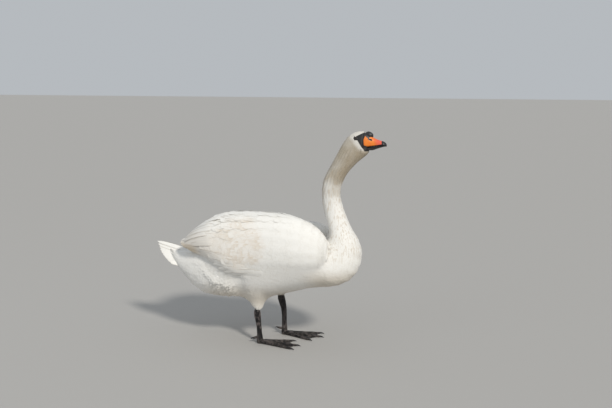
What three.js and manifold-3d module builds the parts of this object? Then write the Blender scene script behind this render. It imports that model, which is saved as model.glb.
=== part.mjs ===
// Adult mute swan (Cygnus olor), standing: a still, life-size display model in its own faceted solids.
// Millimetres. The bird faces +X, its left side is +Y, and its feet stand on z = 0.
import * as THREE from 'three';
import { mergeVertices } from 'three/addons/utils/BufferGeometryUtils.js';
import Module from 'manifold-3d';

const wasm = await Module();
wasm.setup();

// ---- Driving dimensions ----
const gap = 0.3; // between neighbouring solids
const legOffset = 68; // from the mid-plane to each leg
const eye = { x: 364.5, y: 20.5, z: 804.8, radius: 6.2 };
const knob = { x: 410.5, z: 814, length: 16.5, width: 10.5, height: 14.5, pitch: 0.35 };
const nailStart = 462; // x where the nail at the bill's tip begins
// The left wing is folded lower than the right one, its shoulder most of all.
const wingDrop = { right: { shoulder: 0, tip: 0 }, left: { shoulder: 50, tip: 20 } };
const wingCuts = { front: 150, rear: -125 }; // x where shoulder, coverts and quills part
const step = { right: 0, left: 58 }; // how far each heel is ahead of the origin of the rows
const heelHeight = 18;
const ankleTop = { right: 134, left: 164 }; // where the feathers of the thigh end
const toes = [
  { name: 'inner', reach: 126, splay: 24 },
  { name: 'middle', reach: 147, splay: 1 },
  { name: 'outer', reach: 142, splay: -17 },
]; // reach in millimetres from the heel to the claw, splay in degrees towards the mid-plane
const clawLength = 19;
const webThick = 2.4;

// ---- Finishes ----
const plumage = { color: 0xf2efe6, roughness: 0.9 };
const stained = { color: 0xe9dfc4, roughness: 0.9 };
const orangeHorn = { color: 0xe9722a, roughness: 0.45 };
const blackHorn = { color: 0x17151a, roughness: 0.4 };
const legSkin = { color: 0x2b282b, roughness: 0.55 };
const eyeShine = { color: 0x120c0a, roughness: 0.1 };

const vec = (x, y, z) => new THREE.Vector3(x, y, z);
const sides = [
  { side: 'right', sign: -1 },
  { side: 'left', sign: 1 },
];

// ---- Rings ----
// A ring is an oval section: its centre, its half axes up, down and side, a power above 2 for
// a squarer oval, and a taper that narrows the top. side x up points along the body.
function ringPoint(ring, angle, reach, grow) {
  const lift = Math.sin(angle);
  const spread = Math.cos(angle);
  const squareness = 2 / (ring.power ?? 2);
  const bent = (value) => Math.sign(value) * Math.abs(value) ** squareness * reach;
  const upward = lift > 0 ? ring.up : (ring.down ?? ring.up);
  const pinch = 1 - (ring.taper ?? 0) * lift;
  return ring.centre
    .clone()
    .addScaledVector(upward, bent(lift) * (1 + grow / upward.length()))
    .addScaledVector(ring.side, bent(spread) * pinch * (1 + grow / ring.side.length()));
}

// The solid through the rings of ringAt(t), its end faces drawn in by half the gap.
// grow swells it on every side, for cutting its neighbours.
function ringSolid(ringAt, { from = 0, to = 1, steps = 8, around = 16, grow = 0 } = {}) {
  const shape = new THREE.CylinderGeometry(1, 1, 1, around, steps);
  const position = shape.attributes.position;
  for (let i = 0; i < position.count; i++) {
    const along = position.getY(i) + 0.5;
    const ring = ringAt(THREE.MathUtils.lerp(from, to, along));
    const reach = Math.min(1, Math.hypot(position.getX(i), position.getZ(i)));
    const angle = Math.atan2(position.getX(i), position.getZ(i));
    const point = ringPoint(ring, angle, reach, grow);
    const ahead = ring.side.clone().cross(ring.up).normalize();
    const inward = along < 1e-6 ? 1 : along > 1 - 1e-6 ? -1 : 0;
    point.addScaledVector(ahead, inward * (gap / 2 - grow));
    position.setXYZ(i, point.x, point.y, point.z);
  }
  return solidOf(shape);
}

// Smooth values between the rows of a table whose columns are numbers or [x, z] pairs.
function smoothTable(rows) {
  const curveOf = (pick) =>
    new THREE.SplineCurve(rows.map((row, i) => new THREE.Vector2(...pick(row, i))));
  const columns = Object.entries(rows[0]).map(([name, value]) =>
    Array.isArray(value)
      ? [name, curveOf((row) => row[name]), (point) => point]
      : [name, curveOf((row, i) => [i, row[name]]), (point) => point.y],
  );
  return (t) =>
    Object.fromEntries(columns.map(([name, curve, read]) => [name, read(curve.getPoint(t))]));
}

// Rings along a line of rows {x, y, z, width, depth}: width lies along the lateral direction.
function limbRings(rows, lateral) {
  const rowAt = smoothTable(rows);
  const pointAt = (t) => {
    const { x, y, z } = rowAt(t);
    return vec(x, y, z);
  };
  return (t) => {
    const ahead = pointAt(Math.min(1, t + 0.01)).sub(pointAt(Math.max(0, t - 0.01))).normalize();
    const side = lateral.clone().addScaledVector(ahead, -lateral.dot(ahead)).normalize();
    const up = ahead.clone().cross(side);
    const { width, depth } = rowAt(t);
    return { centre: pointAt(t), side: side.multiplyScalar(width), up: up.multiplyScalar(depth) };
  };
}

// ---- Joining and cutting ----
function solidOf(geometry) {
  const bare = geometry.clone();
  bare.deleteAttribute('normal');
  bare.deleteAttribute('uv');
  const merged = mergeVertices(bare, 1e-3);
  return new wasm.Manifold(
    new wasm.Mesh({
      numProp: 3,
      vertProperties: new Float32Array(merged.attributes.position.array),
      triVerts: new Uint32Array(merged.index.array),
    }),
  );
}

const farAway = 2000;
const everywhere = [-farAway, farAway];

// Everything between the given limits, for trimming.
function slab({ x = everywhere, y = everywhere, z = everywhere }) {
  const shape = new THREE.BoxGeometry(x[1] - x[0], y[1] - y[0], z[1] - z[0]);
  const middle = [x, y, z].map(([low, high]) => (low + high) / 2);
  return solidOf(shape.translate(...middle));
}

// The largest body of a cut solid, without its loose slivers.
const mainBody = (solid) => solid.decompose().sort((a, b) => b.volume() - a.volume())[0];
const joined = (solids) => solids.reduce((sum, solid) => sum.add(solid));

const swan = new THREE.Group();
swan.name = 'mute_swan';

function addPart(name, solid, { color, roughness }) {
  const { vertProperties, triVerts } = mainBody(solid).getMesh();
  const geometry = new THREE.BufferGeometry()
    .setAttribute('position', new THREE.BufferAttribute(new Float32Array(vertProperties), 3))
    .setIndex(new THREE.BufferAttribute(new Uint32Array(triVerts), 1));
  const mesh = new THREE.Mesh(geometry, new THREE.MeshStandardMaterial({ color, roughness }));
  mesh.name = name;
  swan.add(mesh);
}

// ---- Trunk, neck and head: one line of rings from the tail root to the forehead ----
// back and belly are the outline's [x, z] in the mid-plane, half is the half width.
const spineRows = [
  { back: [-392, 346], belly: [-388, 306], half: 26, taper: -0.1 },
  { back: [-360, 340], belly: [-352, 260], half: 54, taper: -0.1 },
  { back: [-315, 348], belly: [-300, 212], half: 82, taper: -0.05 },
  { back: [-250, 388], belly: [-238, 172], half: 112, taper: 0 },
  { back: [-170, 440], belly: [-165, 165], half: 136, taper: 0.03 },
  { back: [-80, 476], belly: [-75, 168], half: 147, taper: 0.06 },
  { back: [15, 486], belly: [20, 172], half: 150, taper: 0.07 },
  { back: [105, 470], belly: [115, 198], half: 145, taper: 0.07 },
  { back: [180, 436], belly: [205, 224], half: 132, taper: 0.06 },
  { back: [228, 420], belly: [284, 234], half: 116, taper: 0.02 },
  { back: [250, 426], belly: [346, 262], half: 100, taper: 0 },
  { back: [259, 441], belly: [384, 322], half: 82, taper: 0 },
  { back: [258, 464], belly: [384, 396], half: 65, taper: 0 },
  { back: [249, 492], belly: [350, 458], half: 51, taper: 0 },
  { back: [237, 535], belly: [319, 528], half: 40, taper: 0 },
  { back: [231, 590], belly: [303, 590], half: 35, taper: 0 },
  { back: [238, 645], belly: [311, 632], half: 33.5, taper: 0 },
  { back: [262, 694], belly: [332, 672], half: 33.5, taper: 0 },
  { back: [291, 748], belly: [362, 705], half: 34.5, taper: 0.04 },
  { back: [313, 788], belly: [392, 730], half: 34, taper: 0.12 },
  { back: [331, 810], belly: [403, 741], half: 32, taper: 0.18 },
  { back: [357, 826], belly: [410, 750], half: 30, taper: 0.2 },
  { back: [384, 831], belly: [413, 757], half: 25.5, taper: 0.18 },
  { back: [402, 826], belly: [414.5, 762], half: 20.5, taper: 0.1 },
];
const spineAt = smoothTable(spineRows);

function spineRing(t) {
  const { back, belly, half, taper } = spineAt(t);
  return {
    centre: vec((back.x + belly.x) / 2, 0, (back.y + belly.y) / 2),
    up: vec((back.x - belly.x) / 2, 0, (back.y - belly.y) / 2),
    side: vec(0, half, 0),
    power: 2.12,
    taper,
  };
}

// The stretches the spine is cut into, each between two rows counted from the tail root.
const stretches = {
  rump: { rows: [0, 2], steps: 3, around: 20, finish: plumage },
  abdomen: { rows: [2, 5.2], steps: 5, around: 20, finish: plumage },
  trunk: { rows: [5.2, 8.5], steps: 5, around: 20, finish: plumage },
  breast: { rows: [8.5, 13], steps: 8, around: 20, finish: plumage },
  neck_lower: { rows: [13, 15], steps: 4, around: 18, finish: plumage },
  neck_middle: { rows: [15, 17.4], steps: 5, around: 18, finish: plumage },
  neck_upper: { rows: [17.4, 19.6], steps: 5, around: 18, finish: stained },
  head: { rows: [19.6, 23], steps: 8, around: 18, finish: stained },
};

function spineSolid(name, grow = 0) {
  const { rows, steps, around } = stretches[name];
  const [from, to] = rows.map((row) => row / (spineRows.length - 1));
  return ringSolid(spineRing, { from, to, steps, around, grow });
}
const bodyNames = ['rump', 'abdomen', 'trunk', 'breast'];
const trunkRoom = joined(bodyNames.map((name) => spineSolid(name, gap)));
const headRoom = spineSolid('head', gap);

// ---- Eyes, let into the head ----
function eyeBall(sign, grow = 0) {
  const ball = new THREE.SphereGeometry(eye.radius + grow, 10, 8);
  return solidOf(ball.translate(eye.x, sign * eye.y, eye.z));
}
for (const [name, { finish }] of Object.entries(stretches)) {
  const eyeSockets = joined(sides.map(({ sign }) => eyeBall(sign, gap)));
  addPart(name, spineSolid(name).subtract(eyeSockets), finish);
}
for (const { side, sign } of sides) addPart(`eye_${side}`, eyeBall(sign), eyeShine);

// ---- Bill: rows from the face to the tip, with the heights of ridge, mouth and chin ----
const billRows = [
  { x: 388, ridge: 826, mouth: 767, chin: 760, half: 20.5 },
  { x: 402, ridge: 822, mouth: 769.5, chin: 759.5, half: 19.4 },
  { x: 415, ridge: 815, mouth: 771.5, chin: 759.5, half: 17.4 },
  { x: 427, ridge: 807, mouth: 773.5, chin: 760.5, half: 15.2 },
  { x: 439, ridge: 801, mouth: 775.3, chin: 765, half: 13.9 },
  { x: 451, ridge: 797, mouth: 776.6, chin: 769, half: 13.4 },
  { x: 461, ridge: 794, mouth: 777.4, chin: 772, half: 13.2 },
  { x: 469, ridge: 790.5, mouth: 777.6, chin: 774.2, half: 11.4 },
  { x: 476.5, ridge: 784, mouth: 776, chin: 775, half: 5.5 },
];
const billAt = smoothTable(billRows);

// An oval between two heights, widest the given share of the way up.
function billRing(t, low, high, widest, narrower) {
  const row = billAt(t);
  const middle = THREE.MathUtils.lerp(row[low], row[high], widest);
  return {
    centre: vec(row.x, 0, middle),
    up: vec(0, 0, row[high] - middle),
    down: vec(0, 0, middle - row[low]),
    side: vec(0, row.half - narrower, 0),
    power: 2.15,
  };
}
const upperRing = (t) => billRing(t, 'mouth', 'ridge', 0.22, 0);
const lowerRing = (t) => billRing(t, 'chin', 'mouth', 0.7, 1);
const upperBill = ringSolid(upperRing, { steps: 11, around: 14 });
const upperRoom = ringSolid(upperRing, { steps: 11, around: 14, grow: gap });
const lowerBill = ringSolid(lowerRing, { to: 0.86, steps: 8, around: 12 });

function knobBall(grow = 0) {
  const ball = new THREE.SphereGeometry(1, 12, 8);
  ball.scale(knob.length + grow, knob.width + grow, knob.height + grow);
  return solidOf(ball.rotateY(knob.pitch).translate(knob.x, 0, knob.z));
}
const billBase = upperBill.subtract(headRoom).subtract(knobBall(gap));
addPart('knob', knobBall().subtract(headRoom), blackHorn);
addPart('bill_upper', billBase.intersect(slab({ x: [0, nailStart] })), orangeHorn);
addPart('bill_nail', upperBill.intersect(slab({ x: [nailStart + gap, farAway] })), blackHorn);
addPart('bill_lower', lowerBill.subtract(headRoom).subtract(upperRoom), blackHorn);

// ---- Quills: long flat feathers, each from a root to a tip ----
const leafRows = [0.8, 1, 0.98, 0.72, 0.14];

function quill(root, tip, lateral, { width, thick }) {
  const rows = leafRows.map((share, i) => {
    const { x, y, z } = root.clone().lerp(tip, i / (leafRows.length - 1));
    return { x, y, z, width: width * share, depth: thick * Math.max(share, 0.4) };
  });
  return ringSolid(limbRings(rows, lateral), { steps: 4, around: 6 });
}

// ---- Tail: a fan of pairs drooping from the middle quill to the outermost ----
const tailRows = [
  { x: -457, y: 0, z: 372 },
  { x: -445, y: 16, z: 349 },
  { x: -430, y: 31, z: 333 },
  { x: -408, y: 46, z: 318 },
  { x: -380, y: 60, z: 303 },
];
const tailQuills = tailRows.flatMap(({ x, y, z }, i) =>
  sides
    .filter(({ sign }) => y > 0 || sign > 0)
    .map(({ sign }) => {
      const root = vec(-300, sign * y * 0.55, 330 - i * 11);
      const lateral = vec(0, Math.cos(i * 0.2), -sign * Math.sin(i * 0.2));
      return quill(root, vec(x, sign * y, z), lateral, { width: 19, thick: 3.6 });
    }),
);
const tailCoreRows = [
  { x: -290, z: 304, width: 70, depth: 40 },
  { x: -340, z: 314, width: 66, depth: 33 },
  { x: -385, z: 334, width: 50, depth: 23 },
  { x: -418, z: 349, width: 34, depth: 14 },
  { x: -440, z: 360, width: 16, depth: 7 },
].map((row) => ({ ...row, y: 0 }));
const tailCore = ringSolid(limbRings(tailCoreRows, vec(0, 1, 0)), { steps: 5, around: 14 });
addPart('tail', joined([tailCore, ...tailQuills]).subtract(trunkRoom), plumage);

// ---- Wings, folded over the trunk: rows from the quill tips to the shoulder ----
// crest and hem are the heights of the upper and lower edges, in and out the distances
// from the mid-plane to the inner and outer faces, flare how far the hem leans outwards.
const wingRows = [
  { x: -312, crest: 396, hem: 368, in: 26, out: 74, flare: 0.05 },
  { x: -290, crest: 416, hem: 364, in: 12, out: 96, flare: 0.05 },
  { x: -250, crest: 450, hem: 352, in: -6, out: 122, flare: 0.08 },
  { x: -200, crest: 484, hem: 332, in: -14, out: 142, flare: 0.12 },
  { x: -150, crest: 507, hem: 298, in: -16, out: 155, flare: 0.16 },
  { x: -90, crest: 520, hem: 270, in: -16, out: 164, flare: 0.18 },
  { x: -20, crest: 523, hem: 266, in: -14, out: 168, flare: 0.12 },
  { x: 60, crest: 522, hem: 268, in: -8, out: 169, flare: 0.04 },
  { x: 130, crest: 516, hem: 274, in: 4, out: 168, flare: 0 },
  { x: 190, crest: 502, hem: 284, in: 22, out: 162, flare: 0 },
  { x: 232, crest: 482, hem: 300, in: 40, out: 152, flare: 0 },
  { x: 262, crest: 456, hem: 322, in: 56, out: 140, flare: 0 },
  { x: 280, crest: 425, hem: 358, in: 72, out: 126, flare: 0 },
];
const wingAt = smoothTable(wingRows);

function wingRing(sign, drop) {
  return (t) => {
    const row = wingAt(t);
    const tall = (row.crest - row.hem) / 2;
    const forward = THREE.MathUtils.smoothstep(row.x, -120, 200);
    const lowered = THREE.MathUtils.lerp(drop.tip, drop.shoulder, forward);
    return {
      centre: vec(row.x, sign * ((row.in + row.out) / 2), (row.crest + row.hem) / 2 - lowered),
      up: vec(0, -sign * tall * 0.12, tall),
      down: vec(0, -sign * tall * row.flare, tall),
      side: vec(0, (row.out - row.in) / 2, 0),
      power: 2.35,
    };
  };
}

// Tips of the long quills past the end of the folded wing.
const tipRows = [
  { x: -326, y: 40, z: 392 },
  { x: -336, y: 54, z: 383 },
  { x: -330, y: 68, z: 374 },
  { x: -312, y: 82, z: 366 },
  { x: -288, y: 97, z: 361 },
];
for (const { side, sign } of sides) {
  const drop = wingDrop[side];
  const halfSpace = slab({ y: sign > 0 ? [gap / 2, farAway] : [-farAway, -gap / 2] });
  const folded = ringSolid(wingRing(sign, drop), { steps: 14, around: 18 });
  const tips = tipRows.map(({ x, y, z }) =>
    quill(
      vec(x + 130, sign * y * 1.3, z + 22 - drop.tip),
      vec(x, sign * y, z - drop.tip),
      vec(0, 0.5, sign * 0.87),
      { width: 17, thick: 4 },
    ),
  );
  const wing = joined([folded, ...tips]).subtract(trunkRoom).intersect(halfSpace);
  const between = (low, high) => wing.intersect(slab({ x: [low + gap / 2, high - gap / 2] }));
  addPart(`wing_shoulder_${side}`, between(wingCuts.front, farAway), plumage);
  addPart(`wing_coverts_${side}`, between(wingCuts.rear, wingCuts.front), plumage);
  addPart(`wing_quills_${side}`, between(-farAway, wingCuts.rear), plumage);
}

// ---- Legs: rows down from the flank, relative to the heel ----
const thighRows = {
  right: [
    { x: -8, z: 212, width: 46, depth: 62 },
    { x: -9, z: 186, width: 36, depth: 48 },
    { x: -8, z: 167, width: 25, depth: 29 },
    { x: -7, z: 150, width: 16, depth: 16 },
    { x: -9, z: 140, width: 11, depth: 11 },
    { x: -10, z: 128, width: 8, depth: 8 },
  ],
  left: [
    { x: -14, z: 216, width: 46, depth: 60 },
    { x: -14, z: 196, width: 32, depth: 40 },
    { x: -15, z: 180, width: 20, depth: 24 },
    { x: -15, z: 170, width: 13, depth: 15 },
    { x: -15, z: 158, width: 10, depth: 11 },
  ],
};
const shankRows = {
  right: [
    { x: -10, z: 140, width: 9, depth: 9 },
    { x: -10, z: 120, width: 11.5, depth: 13.5 },
    { x: -8, z: 100, width: 10, depth: 12.5 },
    { x: -4, z: 76, width: 8, depth: 10 },
    { x: -2, z: 48, width: 7.6, depth: 9.6 },
    { x: 0, z: 28, width: 9, depth: 11 },
    { x: 0, z: 12, width: 10, depth: 12 },
  ],
  left: [
    { x: -16, z: 170, width: 10, depth: 12 },
    { x: -12, z: 146, width: 12, depth: 15 },
    { x: -6, z: 124, width: 10, depth: 13 },
    { x: -1, z: 96, width: 8, depth: 10.5 },
    { x: -1, z: 56, width: 7.6, depth: 9.8 },
    { x: 0, z: 30, width: 9, depth: 11 },
    { x: 0, z: 12, width: 10, depth: 12 },
  ],
};
const hindToe = { length: 20, claw: 13, start: 9, height: 24, pitch: { right: -0.3, left: 0.1 } };
const aboveFloor = slab({ z: [0, farAway] });
const lateralY = vec(0, 1, 0);

for (const { side, sign } of sides) {
  const heel = vec(step[side], sign * legOffset, 0);
  const limb = (rows, options) => {
    const placed = rows.map((row) => ({ ...row, x: row.x + heel.x, y: heel.y }));
    return ringSolid(limbRings(placed, lateralY), options);
  };
  const thigh = limb(thighRows[side], { steps: 6, around: 14 });
  const shank = limb(shankRows[side], { steps: 7, around: 10 });
  const above = (height) => slab({ z: [height + gap / 2, farAway] });
  const below = (height) => slab({ z: [-farAway, height - gap / 2] });
  addPart(`thigh_${side}`, thigh.subtract(trunkRoom).intersect(above(ankleTop[side])), plumage);
  const bareShank = shank.intersect(above(heelHeight)).intersect(below(ankleTop[side]));
  addPart(`shank_${side}`, bareShank, legSkin);

  // Toes lie on the floor and are cut flat by it.
  const toePoint = (toe, reach, height) => {
    const angle = THREE.MathUtils.degToRad(-sign * toe.splay);
    return vec(heel.x + reach * Math.cos(angle), heel.y + reach * Math.sin(angle), height);
  };
  const toeSolids = toes.map((toe) => {
    const across = toePoint(toe, 1, 0).sub(heel).cross(vec(0, 0, -1));
    const rowAt = (share, height, width) => {
      const point = toePoint(toe, toe.reach * share, height);
      return { x: point.x, y: point.y, z: point.z, width, depth: width * 0.95 };
    };
    const rows = [
      rowAt(0.02, 8, 9.5),
      rowAt(0.2, 7.2, 8),
      rowAt(0.4, 5.6, 6.4),
      rowAt(0.58, 5.4, 6.2),
      rowAt(0.78, 4.4, 5.2),
      rowAt(1, 3.6, 4.4),
    ];
    return ringSolid(limbRings(rows, across), { steps: 4, around: 7 });
  });
  const web = new THREE.Shape().moveTo(heel.x, heel.y);
  toes.forEach((toe, i) => {
    const corner = toePoint(toe, toe.reach - 5, 0);
    if (i === 0) web.lineTo(corner.x, corner.y);
    else {
      const before = toes[i - 1];
      const middle = { splay: (toe.splay + before.splay) / 2 };
      const notch = toePoint(middle, Math.min(toe.reach, before.reach) - 14, 0);
      web.quadraticCurveTo(notch.x, notch.y, corner.x, corner.y);
    }
  });
  const webShape = new THREE.ExtrudeGeometry(web, {
    depth: webThick,
    bevelEnabled: false,
    curveSegments: 4,
  }).translate(0, 0, 1);
  const padRows = [
    { x: heel.x, y: heel.y, z: heelHeight, width: 10, depth: 12 },
    { x: heel.x, y: heel.y, z: 8, width: 11.5, depth: 13 },
    { x: heel.x, y: heel.y, z: -1, width: 9, depth: 10 },
  ];
  const pad = ringSolid(limbRings(padRows, lateralY), { steps: 3, around: 14 });
  const footSolids = joined([solidOf(webShape), pad, ...toeSolids]);
  const foot = footSolids.intersect(slab({ z: [0, heelHeight - gap / 2] }));
  addPart(`foot_${side}`, foot, legSkin);

  toes.forEach((toe) => {
    const across = toePoint(toe, 1, 0).sub(heel).cross(vec(0, 0, -1));
    const rowAt = (share, height, width) => {
      const point = toePoint(toe, toe.reach + share * clawLength, height);
      return { x: point.x, y: point.y, z: point.z, width, depth: width };
    };
    const rows = [rowAt(0, 4, 3.4), rowAt(0.5, 4, 2.7), rowAt(1, 1.6, 0.8)];
    const claw = ringSolid(limbRings(rows, across), { steps: 3, around: 7 });
    addPart(`claw_${toe.name}_${side}`, claw.intersect(aboveFloor), blackHorn);
  });

  const pitch = hindToe.pitch[side];
  const hindRow = (reach, width) => ({
    x: heel.x - hindToe.start - reach * Math.cos(pitch),
    y: heel.y,
    z: hindToe.height + reach * Math.sin(pitch),
    width,
    depth: width,
  });
  const shankRoom = limb(shankRows[side], { steps: 7, around: 10, grow: gap });
  const toeRows = [hindRow(0, 5.2), hindRow(hindToe.length / 2, 5), hindRow(hindToe.length, 3.6)];
  const hind = ringSolid(limbRings(toeRows, lateralY), { steps: 3, around: 8 });
  addPart(`hind_toe_${side}`, hind.subtract(shankRoom), legSkin);
  const clawRow = (share, width) => hindRow(hindToe.length + share * hindToe.claw, width);
  const clawRows = [clawRow(0, 3), clawRow(0.5, 2.3), clawRow(1, 0.7)];
  const hindClaw = ringSolid(limbRings(clawRows, lateralY), { steps: 3, around: 7 });
  addPart(`claw_hind_${side}`, hindClaw, blackHorn);
}

// ---- Frame: the origin is the middle of the bounding box's bottom face ----
const bounds = new THREE.Box3().setFromObject(swan);
const middle = bounds.getCenter(vec(0, 0, 0));
swan.position.set(-middle.x, -middle.y, -bounds.min.z);

export default swan;
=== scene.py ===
import math

import bmesh
import bpy
import numpy as np
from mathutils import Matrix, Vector
from mathutils.bvhtree import BVHTree


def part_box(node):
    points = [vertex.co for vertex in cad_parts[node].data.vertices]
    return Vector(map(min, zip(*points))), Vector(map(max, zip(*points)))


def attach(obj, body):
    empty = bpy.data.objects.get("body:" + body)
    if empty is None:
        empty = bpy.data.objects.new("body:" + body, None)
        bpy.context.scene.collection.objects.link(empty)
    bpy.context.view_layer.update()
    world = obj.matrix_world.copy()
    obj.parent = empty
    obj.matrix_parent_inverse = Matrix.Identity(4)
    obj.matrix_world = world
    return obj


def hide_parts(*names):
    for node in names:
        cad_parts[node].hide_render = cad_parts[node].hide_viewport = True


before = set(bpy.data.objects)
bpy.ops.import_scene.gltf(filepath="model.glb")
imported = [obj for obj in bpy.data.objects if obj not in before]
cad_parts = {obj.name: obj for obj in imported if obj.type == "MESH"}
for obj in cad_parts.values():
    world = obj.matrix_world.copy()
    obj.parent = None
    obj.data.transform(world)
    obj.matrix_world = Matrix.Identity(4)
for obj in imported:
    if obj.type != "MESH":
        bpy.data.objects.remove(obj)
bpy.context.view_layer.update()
scene = bpy.context.scene
scene.view_settings.view_transform = "Standard"
print("stage: frame loaded,", len(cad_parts), "nodes")

# The sizes below are in millimetres from the right heel, with +X forward, +Y left and +Z up.
eyeLow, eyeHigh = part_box("eye_right")
shiftX = 0.3645 - (eyeLow.x + eyeHigh.x) / 2
sides = {"right": -1, "left": 1}


def linked(name, data):
    made = bpy.data.objects.new(name, data)
    scene.collection.objects.link(made)
    return made


shot = {
    "position": (1.05406, -3.09189, 1.05),  # metres
    "turn": 16.0,  # degrees from the bird's side towards its front
    "pitch": 8.893,  # degrees below the horizon
    "lens": 50.0,
    "sensor": 36.0,
    "farthest": 200.0,
}
studio = {
    "floorSize": 60.0,
    "floorColour": (0.44, 0.43, 0.415),
    "floorRoughness": 0.75,
    "world": (0.90, 0.95, 1.0),
    "worldStrength": 0.52,
    "key": {"from": (0.537, -0.576, 0.616), "strength": 2.2, "spread": 8.0, "colour": (1.0, 0.955, 0.88)},
    "fill": {"from": (-2.5, -3.2, 2.2), "size": 3.0, "power": 12.0, "colour": (0.86, 0.93, 1.0)},
    "aim": (0, 0, 0.4),
}


def makeCamera():
    data = bpy.data.cameras.new("camera")
    data.lens, data.sensor_width, data.clip_end = shot["lens"], shot["sensor"], shot["farthest"]
    camera = linked("camera", data)
    camera.location = Vector(shot["position"]) - Vector((shiftX, 0, 0))
    camera.rotation_euler = (math.radians(90 - shot["pitch"]), 0.0, math.radians(shot["turn"]))
    scene.camera = camera


def makeLight(name, kind, spec, shine, towards):
    data = bpy.data.lights.new(name, kind)
    data.energy, data.color = shine, spec["colour"]
    lamp = linked(name, data)
    lamp.rotation_euler = towards.to_track_quat("-Z", "Y").to_euler()
    return lamp


def makeStudio():
    world = bpy.data.worlds.new("world")
    scene.world = world
    world.use_nodes = True
    background = world.node_tree.nodes["Background"]
    background.inputs["Color"].default_value = (*studio["world"], 1)
    background.inputs["Strength"].default_value = studio["worldStrength"]
    key, fill = studio["key"], studio["fill"]
    sun = makeLight("keyLight", "SUN", key, key["strength"], -Vector(key["from"]))
    sun.data.angle = math.radians(key["spread"])
    lamp = makeLight("fillLight", "AREA", fill, fill["power"], Vector(studio["aim"]) - Vector(fill["from"]))
    lamp.data.shape, lamp.data.size, lamp.location = "DISK", fill["size"], fill["from"]
    half = studio["floorSize"] / 2
    mesh = bpy.data.meshes.new("floor")
    corners = [(-half, -half, 0), (half, -half, 0), (half, half, 0), (-half, half, 0)]
    mesh.from_pydata(corners, [], [range(4)])
    material = bpy.data.materials.new("floorPaint")
    material.use_nodes = True
    paint = material.node_tree.nodes["Principled BSDF"]
    paint.inputs["Base Color"].default_value = (*studio["floorColour"], 1)
    paint.inputs["Roughness"].default_value = studio["floorRoughness"]
    mesh.materials.append(material)
    linked("floor", mesh)


makeCamera()
makeStudio()
print("stage: camera, floor and lights")


def mathCall(operation, reflected=False):
    # A method that adds a Math node of the wire and what it is called with.
    def call(self, *others):
        values = (*others, self) if reflected else (self, *others)
        return self.node("ShaderNodeMath", {"operation": operation}, dict(enumerate(values)))
    return call


class Wire:
    # One output socket, with which plain arithmetic adds its nodes to the tree.
    __add__, __radd__ = mathCall("ADD"), mathCall("ADD", True)
    __sub__, __rsub__ = mathCall("SUBTRACT"), mathCall("SUBTRACT", True)
    __mul__, __rmul__ = mathCall("MULTIPLY"), mathCall("MULTIPLY", True)
    __truediv__, __rtruediv__ = mathCall("DIVIDE"), mathCall("DIVIDE", True)
    most, least, exceeds = mathCall("MAXIMUM"), mathCall("MINIMUM"), mathCall("GREATER_THAN")
    sine, size, root = mathCall("SINE"), mathCall("ABSOLUTE"), mathCall("SQRT")

    def __init__(self, tree, socket):
        self.tree, self.socket = tree, socket

    def node(self, kind, settings=None, inputs=None, output=0):
        return addNode(self.tree, kind, settings, inputs, output)

    def vector(self, operation, value=(0, 0, 0), output=0):
        # The scale of a vector is the node's fourth input.
        inputs = {0: self, 3 if operation == "SCALE" else 1: value}
        return self.node("ShaderNodeVectorMath", {"operation": operation}, inputs, output)

    def squared(self):
        return self * self

    def step(self, low, high):
        inputs = {"Value": self, "From Min": low, "From Max": high}
        return self.node("ShaderNodeMapRange", {"interpolation_type": "SMOOTHSTEP"}, inputs)

    def noise(self, scale, detail=3.0):
        inputs = {"Vector": self, "Scale": scale, "Detail": detail, "Roughness": 0.55}
        return self.node("ShaderNodeTexNoise", None, inputs)

    def parts(self):
        return [self.node("ShaderNodeSeparateXYZ", None, {0: self}, output) for output in range(3)]


def addNode(tree, kind, settings=None, inputs=None, output=0):
    node = tree.nodes.new(kind)
    for name, value in (settings or {}).items():
        setattr(node, name, value)
    for name, value in (inputs or {}).items():
        socket = node.inputs[name]
        if isinstance(value, Wire):
            tree.links.new(value.socket, socket)
        elif socket.type == "RGBA" and len(value) == 3:
            socket.default_value = (*value, 1)
        else:
            socket.default_value = value
    return Wire(tree, node.outputs[output])


def mixed(factor, first, second):
    settings = {"data_type": "RGBA", "clamp_factor": True}
    return factor.node("ShaderNodeMix", settings, {0: factor, 6: first, 7: second}, output=2)


class Finish:
    # A material with its shader; point is the place on the object in metres.
    def __init__(self, name, roughness, **constants):
        self.material = bpy.data.materials.new(name)
        self.material.use_nodes = True
        self.tree = self.material.node_tree
        self.shader = self.tree.nodes["Principled BSDF"]
        for socket, value in {"Roughness": roughness, **constants}.items():
            self.shader.inputs[socket.replace("_", " ")].default_value = value
        self.point = addNode(self.tree, "ShaderNodeTexCoord", output=3)

    def millimetres(self):
        x, y, z = self.point.parts()
        return (x + shiftX) * 1000, y * 1000, z * 1000

    def attribute(self, name, output=2):
        return addNode(self.tree, "ShaderNodeAttribute", {"attribute_name": name}, output=output)

    def leafPlace(self):
        # How far along a feather, and how far beside its shaft.
        sideways, along, _ = addNode(self.tree, "ShaderNodeUVMap", {"uv_map": "leaf"}).parts()
        return along, (sideways - 0.5).size()

    def feed(self, **wires):
        for socket, wire in wires.items():
            self.tree.links.new(wire.socket, self.shader.inputs[socket.replace("_", " ")])
        return self.material

    def bumped(self, strength, distance, height, **inputs):
        inputs = {"Strength": strength, "Distance": distance, "Height": height, **inputs}
        return addNode(self.tree, "ShaderNodeBump", None, inputs)


# Meshes to and from arrays, in millimetres.
def arraysOf(mesh):
    points = np.empty(len(mesh.vertices) * 3)
    mesh.vertices.foreach_get("co", points)
    return (points.reshape(-1, 3) + (shiftX, 0, 0)) * 1000


def setPoints(mesh, points):
    mesh.vertices.foreach_set("co", (points / 1000 - (shiftX, 0, 0)).ravel())
    mesh.update()


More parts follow.
